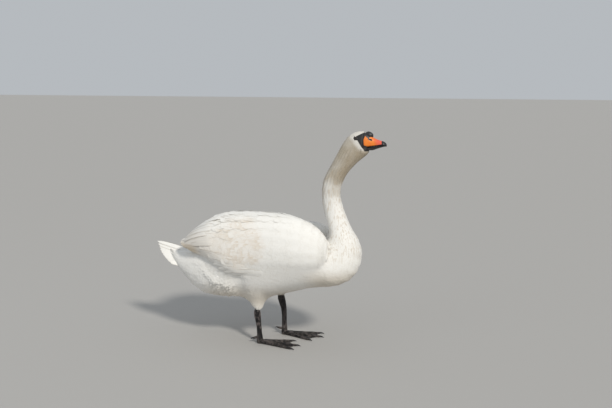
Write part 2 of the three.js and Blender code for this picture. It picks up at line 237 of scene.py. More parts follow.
def setField(mesh, field, values):
    values = np.asarray(values, np.float32)
    kind, key = ("FLOAT", "value") if values.ndim == 1 else ("FLOAT_VECTOR", "vector")
    layer = mesh.attributes.get(field) or mesh.attributes.new(field, kind, "POINT")
    layer.data.foreach_set(key, values.ravel())


def newObject(name, points, faces, uv=None, fields=None):
    # uv holds a place for each corner of each point; fields holds one value or vector per point.
    mesh = bpy.data.meshes.new(name)
    points = np.asarray(points, float) / 1000 - (shiftX, 0, 0)
    mesh.from_pydata(points.tolist(), [], [list(map(int, face)) for face in faces])
    corners = np.empty(len(mesh.loops), np.int64)
    mesh.loops.foreach_get("vertex_index", corners)
    for layer, values in (uv or {}).items():
        values = np.asarray(values, np.float32)[corners]
        mesh.uv_layers.new(name=layer).data.foreach_set("uv", values.ravel())
    for field, values in (fields or {}).items():
        setField(mesh, field, values)
    mesh.shade_smooth()
    mesh.update()
    return linked(name, mesh)


def evaluated(thing, name):
    # The mesh that a thing's modifiers make, in a new object; the thing itself goes.
    depsgraph = bpy.context.evaluated_depsgraph_get()
    mesh = bpy.data.meshes.new_from_object(thing.evaluated_get(depsgraph))
    bpy.data.objects.remove(thing)
    mesh.name = name
    return linked(name, mesh)


def edgesOf(mesh):
    edges = np.empty(len(mesh.edges) * 2, np.int64)
    mesh.edges.foreach_get("vertices", edges)
    return edges.reshape(-1, 2)


def normalsOf(mesh):
    normals = np.empty(len(mesh.vertices) * 3)
    mesh.vertex_normals.foreach_get("vector", normals)
    return normals.reshape(-1, 3)


def relaxed(values, edges, rounds, strength=0.5):
    # Draws each value towards its neighbours' mean; values is a list or a table with a row per point.
    values = np.array(values, float)
    table = values.reshape(len(values), -1)
    count = len(table)
    degree = np.maximum(np.bincount(edges.ravel(), minlength=count), 1)
    first, second = edges[:, 0], edges[:, 1]
    for _ in range(rounds):
        for column in range(table.shape[1]):
            line = table[:, column]
            total = np.bincount(first, line[second], count) + np.bincount(second, line[first], count)
            table[:, column] = line + strength * (total / degree - line)
    return table.reshape(values.shape)


def ironed(points, edges, rounds):
    # Melts facets without shrinking the shape.
    for _ in range(rounds):
        points = relaxed(points, edges, 1, 0.5)
        points = relaxed(points, edges, 1, -0.52)
    return points


def smoothstep(value, low, high):
    # 0 at low, 1 at high and smooth between; low above high turns it round. It takes arrays and wires.
    if isinstance(value, Wire):
        return value.step(low, high)
    share = np.clip((np.asarray(value, float) - low) / (high - low), 0, 1)
    return share * share * (3 - 2 * share)


def bell(value, middle, width, power=2):
    return np.exp(-(((value - middle) / width) ** power))


def within(place, spans):
    # The product of the smooth steps along each axis, whose span lists their ends in pairs.
    steps = [smoothstep(place[axis], low, high) for axis, ends in spans.items()
             for low, high in zip(ends[::2], ends[1::2])]
    return math.prod(steps[1:], start=steps[0])


def placeOf(points):
    x, y, z = points.T
    return {"x": x, "y": y, "z": z, "side": np.abs(y)}


def unit(vectors):
    vectors = np.asarray(vectors, float)
    return vectors / np.maximum(np.linalg.norm(vectors, axis=-1, keepdims=True), 1e-9)


def across(vectors, normals):
    # What is left of each vector at right angles to its normal, one unit long.
    return unit(vectors - normals * (vectors * normals).sum(1, keepdims=True))


def quadsOf(grid):
    # The faces between neighbouring rows of a grid of corners, each row closed round.
    beside = np.roll(grid, -1, 1)
    return np.stack([grid[:-1], beside[:-1], beside[1:], grid[1:]], -1).reshape(-1, 4).tolist()


def ringLoft(rings):
    # A closed mesh through rings of equal length, its ends closed by a point in the middle of each.
    rings = np.asarray(rings, float)
    count, around = rings.shape[:2]
    points = np.vstack([rings.reshape(-1, 3), rings[0].mean(0), rings[-1].mean(0)])
    faces = quadsOf(np.arange(count * around).reshape(count, around))
    first, top = count * around, (count - 1) * around
    for j in range(around):
        k = (j + 1) % around
        faces += [(first, k, j), (first + 1, top + j, top + k)]
    return points, faces


def ovalRing(centre, side, up, around, power=2.0, down=None):
    turn = np.linspace(0, 2 * math.pi, around, endpoint=False)
    spread, lift = np.cos(turn), np.sin(turn)
    bent = [np.sign(v) * np.abs(v) ** (2 / power) for v in (spread, lift)]
    upward = np.where(lift[:, None] > 0, up, up if down is None else down)
    return np.asarray(centre, float) + bent[0][:, None] * np.asarray(side, float) + bent[1][:, None] * upward


def ballRings(count, around, end):
    # Rings of a ball of radius 1 along x, from end radians off its pole.
    turns = [(math.cos(a), math.sin(a)) for a in np.linspace(end, math.pi - end, count)]
    return np.array([ovalRing((c, 0, 0), (0, s, 0), (0, 0, s), around) for c, s in turns])


def outward(thing):
    # Turns a closed mesh's faces to point out.
    build = bmesh.new()
    build.from_mesh(thing.data)
    bmesh.ops.recalc_face_normals(build, faces=build.faces)
    build.to_mesh(thing.data)
    build.free()
    thing.data.update()
    return thing


# The skin: one mesh through every node of flesh, drawn in to leave room for the coat.
skinSizes = {
    "grain": 4.4,  # first mesh
    "grow": 0.5,  # closes the hairline between neighbouring nodes
    "ironing": 90,  # rounds that melt the facets
    "flankCalm": 220,  # rounds that blend the flank into the wing's hem
    "thinnest": (0.3, 0.35),  # shares of the flesh's thickness that the coat may take
    "furrows": {"count": 17, "height": 0.9, "rows": (13.5, 15, 18.5, 20)},  # lengthwise, in the neck
    "neckAxis": ((400, 590, 700, 790), (300, 266, 301, 352)),  # z and x
    "coatDepth": {"head": 1.3, "neck": 2.4, "body": 4.5, "wing": 4.0, "thigh": 3.5, "tail": 5.0},
}
spineRows = [  # back x, z, belly x, z
    (-392, 346, -388, 306), (-360, 340, -352, 260), (-315, 348, -300, 212), (-250, 388, -238, 172),
    (-170, 440, -165, 165), (-80, 476, -75, 168), (15, 486, 20, 172), (105, 470, 115, 198),
    (180, 436, 205, 224), (228, 420, 284, 234), (250, 426, 346, 262), (259, 441, 384, 322),
    (258, 464, 384, 396), (249, 492, 350, 458), (237, 535, 319, 528), (231, 590, 303, 590),
    (238, 645, 311, 632), (262, 694, 332, 672), (291, 748, 362, 705), (313, 788, 392, 730),
    (331, 810, 403, 741), (357, 826, 410, 750), (384, 831, 413, 757), (402, 826, 414.5, 762),
]
tailCoreRows = [  # x, z, half width, half depth
    (-280, 296, 70, 50), (-320, 300, 58, 44), (-350, 306, 44, 33), (-385, 320, 28, 15), (-412, 336, 16, 9),
    (-430, 348, 8, 4),
]
thighFunnel = [  # x, side, z, half length, half width: the feathered flesh running down to the ankle
    (-18, 58, 224, 74, 40), (-17, 61, 200, 66, 38), (-14, 64, 180, 52, 34), (-10, 66, 162, 36, 26),
    (-6, 67, 148, 22, 18), (-4, 67, 138, 16, 15),
]
legPlace = {"right": (0, 0), "left": (50, 26)}  # how far each funnel is ahead of and above the right one
socketRadius = 6
spineNodes = ["rump", "abdomen", "trunk", "breast", "neck_lower", "neck_middle", "neck_upper", "head"]
wingNodes = [f"wing_{part}_{side}" for side in sides for part in ("shoulder", "coverts", "quills")]
thighNodes = [f"thigh_{side}" for side in sides]


def mergedNode(name, grow):
    build = bmesh.new()
    build.from_mesh(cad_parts[name].data)
    bmesh.ops.remove_doubles(build, verts=build.verts, dist=1e-6)
    build.normal_update()
    points = [(v.co.x + shiftX, v.co.y, v.co.z) for v in build.verts]
    normals = [tuple(v.normal) for v in build.verts]
    faces = [[v.index for v in f.verts] for f in build.faces]
    build.free()
    return np.array(points) * 1000 + np.array(normals) * grow, faces


def joinedArrays(pieces):
    points, faces, owner, start = [], [], [], 0
    for index, (corners, polygons) in enumerate(pieces):
        points.append(corners)
        faces += [[start + c for c in polygon] for polygon in polygons]
        owner += [index] * len(polygons)
        start += len(corners)
    return np.vstack(points), faces, owner


def voxelled(name, points, faces, grain):
    rough = newObject(name, points, faces)
    remesh = rough.modifiers.new("grain", "REMESH")
    remesh.mode = "VOXEL"
    remesh.voxel_size = grain / 1000
    return outward(evaluated(rough, name))


def refined(thing, chosen):
    # Halves the edges whose two ends are chosen.
    build = bmesh.new()
    build.from_mesh(thing.data)
    build.verts.ensure_lookup_table()
    edges = [e for e in build.edges if chosen[e.verts[0].index] and chosen[e.verts[1].index]]
    bmesh.ops.subdivide_edges(build, edges=edges, cuts=1, use_grid_fill=True)
    build.to_mesh(thing.data)
    build.free()
    thing.data.update()


def spineStation(points):
    # How far along the spine each point lies, in rows, and the way its feathers lie.
    rows = np.array(spineRows, float)
    centres = np.column_stack([(rows[:, 0] + rows[:, 2]) / 2, (rows[:, 1] + rows[:, 3]) / 2])
    plane = points[:, [0, 2]]
    best = np.full(len(points), np.inf)
    station = np.zeros(len(points))
    for i in range(len(centres) - 1):
        start, along = centres[i], centres[i + 1] - centres[i]
        share = np.clip(((plane - start) @ along) / (along @ along), 0, 1)
        distance = np.linalg.norm(plane - start - share[:, None] * along, axis=1)
        closer = distance < best
        best[closer] = distance[closer]
        station[closer] = i + share[closer]
    tangents = unit(np.gradient(centres, axis=0))
    heading = -np.column_stack([np.interp(station, range(len(rows)), tangents[:, k]) for k in (0, 1)])
    return station, np.column_stack([heading[:, 0], np.zeros(len(points)), heading[:, 1]])


def skinBase():
    names = spineNodes + wingNodes + thighNodes
    pieces = [mergedNode(name, skinSizes["grow"]) for name in names]
    pieces.append(ringLoft([ovalRing((x, 0, z), (0, w, 0), (0, 0, d), 24) for x, z, w, d in tailCoreRows]))
    names.append("tail")
    for side, sign in sides.items():
        shift, raised = legPlace[side]
        pieces.append(ringLoft([ovalRing((x + shift, sign * y, z + raised), (long, 0, 0), (0, w, 0), 20)
                                for x, y, z, long, w in thighFunnel]))
        names.append(f"thigh_{side}")
    for side in sides:  # fills the eye sockets
        low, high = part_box(f"eye_{side}")
        centre = ((np.array(low) + np.array(high)) / 2 + (shiftX, 0, 0)) * 1000
        pieces.append(ringLoft(ballRings(8, 12, 0.15) * socketRadius + centre))
        names.append("head")
    points, faces, owner = joinedArrays(pieces)
    nearest = BVHTree.FromPolygons(points.tolist(), faces)
    return voxelled("skin", points, faces, skinSizes["grain"]), nearest, [names[i] for i in owner]


skin, fleshTree, fleshKinds = skinBase()
print("stage: skin grain,", len(skin.data.vertices), "points")


# What the skin knows at each point: depth under the coat, lie and length of the feathers, and bare places.
faceSizes = {
    "eye": (364.5, 20.5, 804.8, 6.2),  # x, half spacing, z, radius
    "opening": 4.7,  # half length of the opening between the lids
    "rim": 7.2,  # bare ring around the eye
    "dip": -1.1,  # heights around the eye
    "hollow": -5.5,
    "brow": 0.8,
    "browAt": (-1, 9, 9.0, 3.2),  # middle and width in x, then in z, from the eye
    "lores": {"from": 358.5, "top": 811.0, "topFrom": 364, "topSlope": 0.5, "foot": 797.0, "footSlope": -1.5,
              "footFrom": 372},
    "loresLimits": (758, 833),  # lowest and highest bare place
    "sheath": (398, 756),  # x and z past which the bill covers the skin
    "underBill": {"ends": (388, 397), "heights": (750, 770), "tip": (400, 414), "back": 3,
                  "narrower": 0.24, "towards": 788, "flatter": 0.16},
}
featherLengths = {  # by row of the spine, and on wing, thigh and tail by place
    "rows": (0, 2, 5, 8.5, 11, 13, 15, 17.4, 19.6, 21, 23),
    "length": (36, 34, 29, 26, 22, 18, 14, 10.5, 7.5, 5.2, 3.6),
    "wing": ((-300, -250, -200, -60, 60, 200), (9, 13, 21, 32, 40, 46)),  # by distance behind the heel
    "scapulars": 16,  # how much longer they are along the back
    "thigh": ((125, 160, 220), (8, 15, 26)),
    "tail": ((-376, -310), (24, 42)),
}
skinZones = {  # pairs of ends along each axis
    "flank": {"x": (-70, 10, 300, 250), "z": (205, 240, 350, 315), "side": (60, 90)},
    "hip": {"z": (150, 172, 262, 225), "side": (25, 50)},
    "vent": {"z": (165, 200, 292, 262), "side": (40, 90)},
    "underHem": {"x": (-15, -70, -290, -250), "side": (40, 90)},
    "neckRoot": {"besideWing": (0.04, 0.35, 0.6, 0.42), "x": (190, 225), "z": (335, 375)},
    "shoulder": {"x": (120, 200), "z": (360, 410)},
    "hangingDown": {"x": (10, -70, -270, -210), "z": (170, 210, 320, 270)},
    "behindWings": {"x": (-232, -250, -324, -312)},
    "crest": {"z": (395, 440), "x": (-330, -230)},
    "tufts": {"x": (-45, -75, -190, -150), "z": (160, 185, 268, 245), "side": (50, 75)},
    "wingFront": {"x": (170, 205)},
}


def barePlace(points):
    # 1 on the bare black skin between eye and bill, 0 on feathers.
    x, _, z = points.T
    lores = faceSizes["lores"]
    lowest, highest = faceSizes["loresLimits"]
    under = np.minimum(lores["top"] + lores["topSlope"] * (x - lores["topFrom"]), highest) - z
    over = z - np.maximum(lores["foot"] + lores["footSlope"] * np.maximum(x - lores["footFrom"], 0), lowest)
    inside = np.minimum(np.minimum(under, over), x - lores["from"])
    eyeX, _, eyeZ, _ = faceSizes["eye"]
    rim = faceSizes["rim"] - np.hypot(x - eyeX, z - eyeZ)
    bill = np.minimum(x - faceSizes["sheath"][0], z - faceSizes["sheath"][1])
    return smoothstep(np.maximum(np.maximum(inside, rim), bill), -0.4, 0.8)


def fleshKindsAt(points):
    return np.array([fleshKinds[fleshTree.find_nearest(Vector(point))[2]] for point in points])


def distanceAlong(points, ways, tree, reach, none):
    # How far each point's ray runs before it meets the tree, or none.
    hits = [tree.ray_cast(Vector(point), Vector(way), reach) for point, way in zip(points, ways)]
    return np.array([none if hit[0] is None else hit[3] for hit in hits])


def treeOf(mesh, chosen=None):
    faces = [tuple(polygon.vertices) for polygon in mesh.polygons]
    if chosen is not None:
        faces = [face for face in faces if chosen[list(face)].all()]
    return BVHTree.FromPolygons(arraysOf(mesh).tolist(), faces)


def riseAt(points, normals, heading, length, tree):
    # How steeply a feather must stand so that a hollow in the skin doesn't swallow it.
    rise, above = np.zeros(len(points)), 12
    for share in (0.55, 1.0):
        starts = points + heading * (length * share)[:, None] + normals * above
        for i, start in enumerate(starts):
            hit = tree.ray_cast(Vector(start), Vector(-normals[i]), above + 2)
            if hit[0] is not None and hit[1] @ Vector(normals[i]) > 0.3:
                rise[i] = max(rise[i], (above - hit[3]) / (length[i] * share))
    return np.clip(rise, 0, 0.4)


def skinDepths(kinds, station):
    depth = skinSizes["coatDepth"]
    body, neck, head = depth["body"], depth["neck"], depth["head"]
    found = np.interp(station, (8, 12, 15, 19, 20.5, 23), (body, body, neck, neck, head, head))
    for part in ("wing", "thigh", "tail"):
        found[np.char.startswith(kinds, part)] = depth[part]
    return found


def sunkEyes(points):
    # Lets the skin dip at the eyes, with a hollow behind each lid and a brow over it.
    eyeX, _, eyeZ, _ = faceSizes["eye"]
    x, y, z = points.T.copy()
    away = np.hypot((x - eyeX) / 1.12, z - eyeZ)
    hollow = smoothstep(away, faceSizes["opening"] + 0.2, faceSizes["opening"] - 1.2)
    dip = smoothstep(away, 9.5, 4.5)
    ahead, long, over, high = faceSizes["browAt"]
    brow = bell(x - eyeX, ahead, long) * bell(z - eyeZ, over, high)
    move = faceSizes["dip"] * dip + faceSizes["hollow"] * hollow + faceSizes["brow"] * brow
    y = y + np.where((np.abs(y) > 8) & (x > 350), np.sign(y) * move, 0)
    return np.column_stack([x, y, z])


def underBill(points):
    # Draws the skin in where the bill's sheath covers it.
    x, y, z = points.T.copy()
    under = faceSizes["underBill"]
    covered = smoothstep(x, *under["ends"]) * smoothstep(z, *under["heights"])
    x = x - under["back"] * covered * smoothstep(x, *under["tip"])
    z = z + (under["towards"] - z) * under["flatter"] * covered
    return np.column_stack([x, y * (1 - under["narrower"] * covered), z])


def blendedFlank(points, edges):
    # The flank's feathers lap over the front half of the wing's hem, so no step shows there.
    x, y, z = points.T
    near = within(placeOf(points), skinZones["flank"])
    for side, sign in sides.items():
        shift, raised = legPlace[side]
        hip = within({"z": z - raised, "side": y * sign}, skinZones["hip"])
        near = np.maximum(near, 0.85 * hip * bell(x - shift, -15, 95, 4))
    near = relaxed(near, edges, 10)[:, None]
    return points * (1 - near) + relaxed(points, edges, skinSizes["flankCalm"]) * near


wingHem = {
    "x": (-273, -244, -203, -162, -134, -105, -76, -44, -20),
    "z": (370, 367, 350, 313, 295, 285, 280, 286, 295),
    "leftLower": 22,
}
hollows = {  # height, then the middle and width of those that are round
    "thigh": (-8, -52, 24), "swell": (4, -118, 34), "lumps": (1.6, -140, 60), "hem": (-8, -12, 11),
    "groove": -8, "shoulders": (14, -5),
}


def flankHollow(points, normals, wing, edges):
    # A shaded hollow behind the thigh, and the loose down of the vent swelling behind it.
    x, y, z = points.T
    place = placeOf(points)
    place["besideWing"] = relaxed(wing.astype(float), edges, 14)
    hem = np.interp(x, wingHem["x"], wingHem["z"]) - np.where(y > 0, wingHem["leftLower"], 0)

    def bump(name, along):
        height, middle, width = hollows[name]
        return height * bell(along, middle, width)

    lumps = bump("lumps", x) * np.sin(x / 8.5 + z / 40)
    move = within(place, skinZones["vent"]) * (bump("thigh", x) + bump("swell", x) + lumps)
    move += within(place, skinZones["underHem"]) * bump("hem", z - hem)
    move += within(place, skinZones["neckRoot"]) * hollows["groove"]
    points = points + normals * move[:, None]
    lifted = wing * within(place, skinZones["shoulder"]) * np.where(y > 0, *hollows["shoulders"])
    points[:, 2] += relaxed(lifted, edges, 14)
    return points


wingTip = {  # heights of the left and the right one; shares drawn towards side and height
    "from": (-225, -310), "shortFrom": (-265, -318), "shorter": 30, "side": 62, "heights": (364, 384),
    "narrower": 0.62, "flatter": 0.68,
}


def narrowWingTips(points, wing):
    # The flesh of the folded wing ends short of its long quills.
    x, y, z = points.T.copy()
    share = smoothstep(x, *wingTip["from"]) * wing
    short = smoothstep(x, *wingTip["shortFrom"]) * wing
    y = y + (np.sign(y) * wingTip["side"] - y) * wingTip["narrower"] * share
    z = z + (np.where(y > 0, *wingTip["heights"]) - z) * wingTip["flatter"] * share
    return np.column_stack([x + wingTip["shorter"] * short, y, z])


lies = {  # ways the feathers point, and the places that those of shoulder and face point away from
    "rise": 0.26, "fall": -0.62, "vent": (-0.62, 0, -0.78), "thigh": (-0.3, 0, -1), "tail": (-1, 0, 0.42),
    "shoulder": (300, 92, 405), "face": (404, 0, 788), "looseness": 0.8,
}


def feathersLie(points, kinds, station, spineHeading):
    heading = spineHeading.copy()
    x, y, z = points.T
    wing = np.char.startswith(kinds, "wing")
    rear, crest = smoothstep(x, 120, -180), smoothstep(z, 330, 500)
    slope = (lies["rise"] * (1 - crest) + lies["fall"] * crest) * rear
    backward = unit(np.column_stack([-np.ones(len(x)), np.zeros(len(x)), slope]))
    mirrored = np.column_stack([np.ones(len(x)), np.sign(y), np.ones(len(x))])
    front = smoothstep(x, 90, 270)[:, None]
    heading[wing] = (backward * (1 - front) + unit(points - lies["shoulder"] * mirrored) * front)[wing]
    vent = within(placeOf(points), skinZones["hangingDown"]) * np.isin(kinds, ("rump", "abdomen"))
    vent = (lies["looseness"] * vent)[:, None]
    heading = heading * (1 - vent) + unit(lies["vent"]) * vent
    for part in ("thigh", "tail"):
        heading[np.char.startswith(kinds, part)] = unit(lies[part])
    face = smoothstep(station, 20.5, 22)[:, None]
    return heading * (1 - face) + unit(points - lies["face"]) * face


def featherLengthAt(points, kinds, station):
    lengths = featherLengths
    length = np.interp(station, lengths["rows"], lengths["length"])
    x, _, z = points.T
    onBack = smoothstep(z, 440, 510) * smoothstep(x, 180, 0)
    places = {"wing": np.interp(-x, *lengths["wing"]) + lengths["scapulars"] * onBack,
              "thigh": np.interp(z, *lengths["thigh"]), "tail": np.interp(x, *lengths["tail"])}
    for part, found in places.items():
        here = np.char.startswith(kinds, part)
        length[here] = found[here]
    return length


def flatUnwrap(thing):
    bpy.context.view_layer.objects.active = thing
    thing.select_set(True)
    bpy.ops.object.mode_set(mode="EDIT")
    bpy.ops.mesh.select_all(action="SELECT")
    bpy.ops.uv.smart_project(angle_limit=math.radians(70), island_margin=0.003)
    bpy.ops.object.mode_set(mode="OBJECT")
    thing.select_set(False)
    thing.data.uv_layers[0].name = "OFBake"


def shapedSkin():
    # Smooths the joined flesh, gives it its folds and draws it in under the coat.
    mesh = skin.data
    points = ironed(arraysOf(mesh), edgesOf(mesh), skinSizes["ironing"])
    setPoints(mesh, points)
    refined(skin, np.isin(fleshKindsAt(points), ("head", "neck_upper", "neck_middle")))
    refined(skin, fleshKindsAt(arraysOf(mesh)) == "head")
    edges = edgesOf(mesh)
    points = ironed(arraysOf(mesh), edges, 3)
    kinds = fleshKindsAt(points)
    wing = np.char.startswith(kinds, "wing")
    points = blendedFlank(points, edges)
    setPoints(mesh, points)
    points = flankHollow(points, unit(relaxed(normalsOf(mesh), edges, 6)), wing, edges)
    setPoints(mesh, points)
    normals = unit(relaxed(normalsOf(mesh), edges, 6))
    station, spineHeading = spineStation(points)
    thickness = distanceAlong(points - normals * 0.6, -normals, treeOf(mesh), 1e6, 999.0)
    first, final = skinSizes["thinnest"]
    depth = relaxed(np.minimum(skinDepths(kinds, station), thickness * first), edges, 30)
    points = points - normals * np.minimum(depth, thickness * final)[:, None]
    points = underBill(sunkEyes(points))
    setPoints(mesh, points)
    bed = treeOf(mesh, wing)
    before = points
    points = narrowWingTips(points, wing)
    drawnIn = relaxed(smoothstep(np.linalg.norm(points - before, axis=1), 0.5, 3.0), edges, 3) > 0.2
    x, y, z = points.T
    furrows = skinSizes["furrows"]
    turn = np.arctan2(y, x - np.interp(z, *skinSizes["neckAxis"]))
    furrow = np.sin(turn * furrows["count"] + 1.2 * np.sin(z / 31) + 0.8 * np.sin(z / 13))
    waist = np.interp(station, furrows["rows"], (0, 1, 1, 0))
    points = points + normals * (furrows["height"] * waist * furrow)[:, None]
    setPoints(mesh, points)
    mesh.shade_smooth()
    flatUnwrap(skin)
    return {"points": points, "kinds": kinds, "station": station, "spineHeading": spineHeading, "bed": bed,
            "drawnIn": drawnIn}


underQuills = {  # the part of the wing that its long quills hide
    "behind": (-22, -30), "foot": 318, "leftLower": 20, "slope": -0.235,
    "rear": (184, 192), "rearFrom": 400, "rearSlope": 0.25,
    "outside": ((80, 228, 320), (84, 46, 40)),  # distance behind the heel, half width
    "last": (-240, -250),
}


def finishSkin():
    # Saves the fields that the coat grows by: lie, normal, length, rise, stand and bare places.
    mesh, facts = skin.data, shapedSkin()
    points, kinds, station = facts["points"], facts["kinds"], facts["station"]
    edges, normals, place = edgesOf(mesh), normalsOf(mesh), placeOf(points)
    calm = unit(relaxed(normals, edges, 40))
    face = smoothstep(station, 12, 15)[:, None] * np.isin(kinds, spineNodes)[:, None]
    calm = np.where((calm * normals).sum(1, keepdims=True) > 0.75, calm, normals)
    normals = unit(calm * (1 - face) + unit(relaxed(normals, edges, 2)) * face)
    heading = across(feathersLie(points, kinds, station, facts["spineHeading"]), normals)
    heading = across(unit(relaxed(heading, edges, 25)), normals)
    # Nothing grows where something stands close, under the long quills, or deep in the fold behind the wings.
    cover = np.where(distanceAlong(points + normals * 1.5, normals, treeOf(mesh), 5, -1) < 0, 1.0, 0.0)
    wing = np.char.startswith(kinds, "wing")
    x, y, z = points.T
    under = underQuills
    foot = under["foot"] - np.where(y > 0, under["leftLower"], 0) + under["slope"] * x
    bundle = smoothstep(x, *under["behind"]) * smoothstep(foot - z, -1, 3)
    rearmost = smoothstep(-x - (z - under["rearFrom"]) * under["rearSlope"], *under["rear"])
    outside = smoothstep(np.abs(y) - np.interp(-x, *under["outside"]), -14, -6)
    cover = cover * (1 - np.maximum(bundle, rearmost) * wing * outside)
    cover = cover * (1 - smoothstep(x, *under["last"]) * wing)
    cover[facts["drawnIn"] | ((kinds == "tail") & (x < -376))] = 0
    length = relaxed(featherLengthAt(points, kinds, station), edges, 40)
    rise = relaxed(riseAt(points, normals, heading, length, treeOf(mesh)), edges, 4)
    backward = smoothstep(-normals[:, 0], 0.42, 0.55) * smoothstep(z, 322, 334)
    fold = np.maximum(smoothstep(rise, 0.1, 0.15), backward) * within(place, skinZones["behindWings"])
    crest = within(place, skinZones["crest"])
    stand = relaxed(1 - 0.7 * np.maximum(crest, smoothstep(x, 120, 200)) * wing, edges, 10)
    bare = barePlace(points)
    fields = {"lie": heading, "skinNormal": normals, "length": length / 1000, "rise": rise, "bare": bare,
              "stand": stand}
    for name, values in fields.items():
        setField(mesh, name, values)
    return {**facts, "open": cover * (1 - fold) * (1 - bare)}


skinFacts = finishSkin()
skinTree = treeOf(skin.data)
print("stage: skin finished,", len(skin.data.vertices), "points")


# Plumage colours, in linear values.
plumageColours = {
    "white": (0.86, 0.85, 0.82),
    "dull": (0.80, 0.78, 0.73),
    # cream: a real stain colour, made darker as painted shade for the shaded side of head and upper neck
    "creamAndShade": (0.30, 0.242, 0.157),
    # throat: a golden stain colour, made darker as painted shade like the cream
    "throat": (0.31, 0.235, 0.14),
    # freckle: the brown of the freckles, also used as painted shade down the rear of the neck
    "freckleAndShade": (0.50, 0.40, 0.28),
    # mottle: the beige of the coverts, also used as painted shade over the rear of the folded wing
    "mottleAndShade": (0.71, 0.62, 0.52),
    "golden": (0.66, 0.48, 0.24),
    # belly: painted shade of the underside, warm as light bounced from the floor
    "belly": (0.54, 0.445, 0.31),
    "bare": (0.012, 0.011, 0.012),
}
stainsAndShades = {  # strength, tint, and pairs of ends along each axis
    # throat: stain, deepened as painted shade
    "throat": (0.45, "throat", {"z": (600, 690, 800, 745)}),
    "necklace": (0.5, "freckleAndShade", {"z": (290, 400, 740, 640), "x": (170, 240), "side": (112, 90)}),
    # nape: painted shade down the rear side of the neck
    "nape": (0.45, "freckleAndShade", {"side": (64, 48), "z": (430, 490, 700, 600), "x": (200, 222),
                               "nape": (16, -4)}),
    "quillRoots": (0.6, "golden", {"x": (-215, -265), "z": (340, 356, 392, 372), "side": (45, 70)}),
    # foldedWing: painted shade over the rear of the folded wing
    "foldedWing": (0.35, "mottleAndShade", {"x": (-90, -190), "z": (330, 360, 470, 410), "side": (40, 80)}),
    # keel: painted shade under the belly and the vent
    "keel": (0.46, "belly", {"z": (262, 180, 120, 175), "x": (-270, -150)}),
    # sump: a warm stain on the breast's lower edge, deepened as painted shade
    "sump": (0.5, "belly", {"z": (330, 262), "x": (150, 260)}),
}
plumageLines = {  # in millimetres, seen from the side
    "throat": {"x": 262, "z": 590, "lean": 0.4},
    "lores": {"x": 363, "z": 801, "back": -0.758, "down": -0.653},
    "nape": {"x": 238, "z": 590, "half": 80, "bend": 6},
    "coverts": {"x": -55, "z": 408, "long": 105, "high": 100},
}
# The cream over head and upper neck: a stain, laid darker as painted shade.
creamHeadAndShade = {
    "from": (565, 695), "wander": 120, "frontLower": 30, "strength": 0.84, "cleaner": 0.5,
    "front": {"throat": (-12, 30)}, "cleanLores": {"lores": (21, 5), "z": (750, 770)},
    "cleanForehead": {"x": (338, 362), "z": (800, 812)},
}
leafTints = {
    # root: painted shade where the feathers above overlap each root
    "old": (0.70, 0.66, 0.58), "quill": (0.93, 0.91, 0.86), "root": (0.55, 0.52, 0.48),
    # rim: painted shade along each feather's edge and tip
    "rim": (0.62, 0.57, 0.49),
}
vaneTints = {
    # rim: painted shade where the vanes overlap
    "old": (0.74, 0.70, 0.62), "rim": (0.50, 0.43, 0.34), "shaft": (0.90, 0.86, 0.76),
    "barb": (0.55, 0.53, 0.50),
}


def plumagePlace(finish):
    # Millimetres, distances from the lines above, and how far out from the middle of the coverts.
    x, y, z = finish.millimetres()
    throat, lores, nape, coverts = plumageLines.values()
    ahead, above = (x - coverts["x"]) / coverts["long"], (z - coverts["z"]) / coverts["high"]
    return {"x": x, "z": z, "side": y.size(),
            "throat": x - throat["x"] - (z - throat["z"]) * throat["lean"],
            "lores": (x - lores["x"]) * lores["back"] + (z - lores["z"]) * lores["down"],
            "nape": x - nape["x"] - ((z - nape["z"]) / nape["half"]).squared() * nape["bend"],
            "coverts": ahead.squared() + above.squared()}


def plumageColour(finish, spots=None):
    # spots: how strongly each feather takes the beige of the wing coverts.
    place = plumagePlace(finish)
    broad, fine = finish.point.noise(14), finish.point.noise(70)
    colours = plumageColours
    colour = mixed(broad.step(0.35, 0.75) * 0.25, colours["white"], colours["dull"])

    def stainedAndShaded(name, *masks):
        strength, tint, spans = stainsAndShades[name]
        return mixed(math.prod(masks, start=within(place, spans)) * strength, colour, colours[tint])

    # Head and upper neck stained cream, made darker as painted shade on their shaded side, the throat more;
    # cleaner behind the lores and on the forehead.
    head = creamHeadAndShade
    front = within(place, head["front"])
    clean = within(place, head["cleanLores"]).most(within(place, head["cleanForehead"]))
    creamStainAndShade = (place["z"] + (broad - 0.5) * head["wander"] + front * head["frontLower"]).step(*head["from"])
    creamStainAndShade = creamStainAndShade * (0.75 + 0.25 * broad.step(0.3, 0.6)) * (head["strength"] - head["cleaner"] * clean)
    colour = mixed(creamStainAndShade, colour, colours["creamAndShade"])
    colour = stainedAndShaded("throat", front, 1 - clean)
    # Brownish freckles down the neck and on the breast, and painted shade down the rear of the neck.
    streaks = finish.point.vector("MULTIPLY", (1, 1, 0.17)).noise(190, 4)
    colour = stainedAndShaded("necklace", streaks.step(0.49, 0.66))
    colour = stainedAndShaded("nape")
    # Beige wing coverts.
    patch = (place["coverts"] + (broad - 0.5) * 1.6).step(1.3, 0.45) * place["side"].step(80, 125)
    spots = 0.55 * fine.step(0.4, 0.65) if spots is None else spots
    colour = mixed(patch * (0.22 + spots * 0.7), colour, colours["mottleAndShade"])
    # The quill roots carry a golden stain; the rear of the folded wing and the belly's underside take painted
    # shade, and the breast's lower edge a warm stain deepened as painted shade.
    for name in ("quillRoots", "foldedWing", "keel", "sump"):
        colour = stainedAndShaded(name)
    return colour


def skinMaterial():
    finish = Finish("plumageSkin", 0.85)
    bare = finish.attribute("bare")
    bump = finish.bumped(0.5, 0.001, finish.point.noise(700) * bare)
    colour = mixed(bare, plumageColour(finish), plumageColours["bare"])
    return finish.feed(Base_Color=colour, Roughness=0.85 - bare * 0.33, Normal=bump)


skin.data.materials.append(skinMaterial())


rimAngle = 60  # degrees past which an edge stays crisp, so that no face is shaded as a pillow


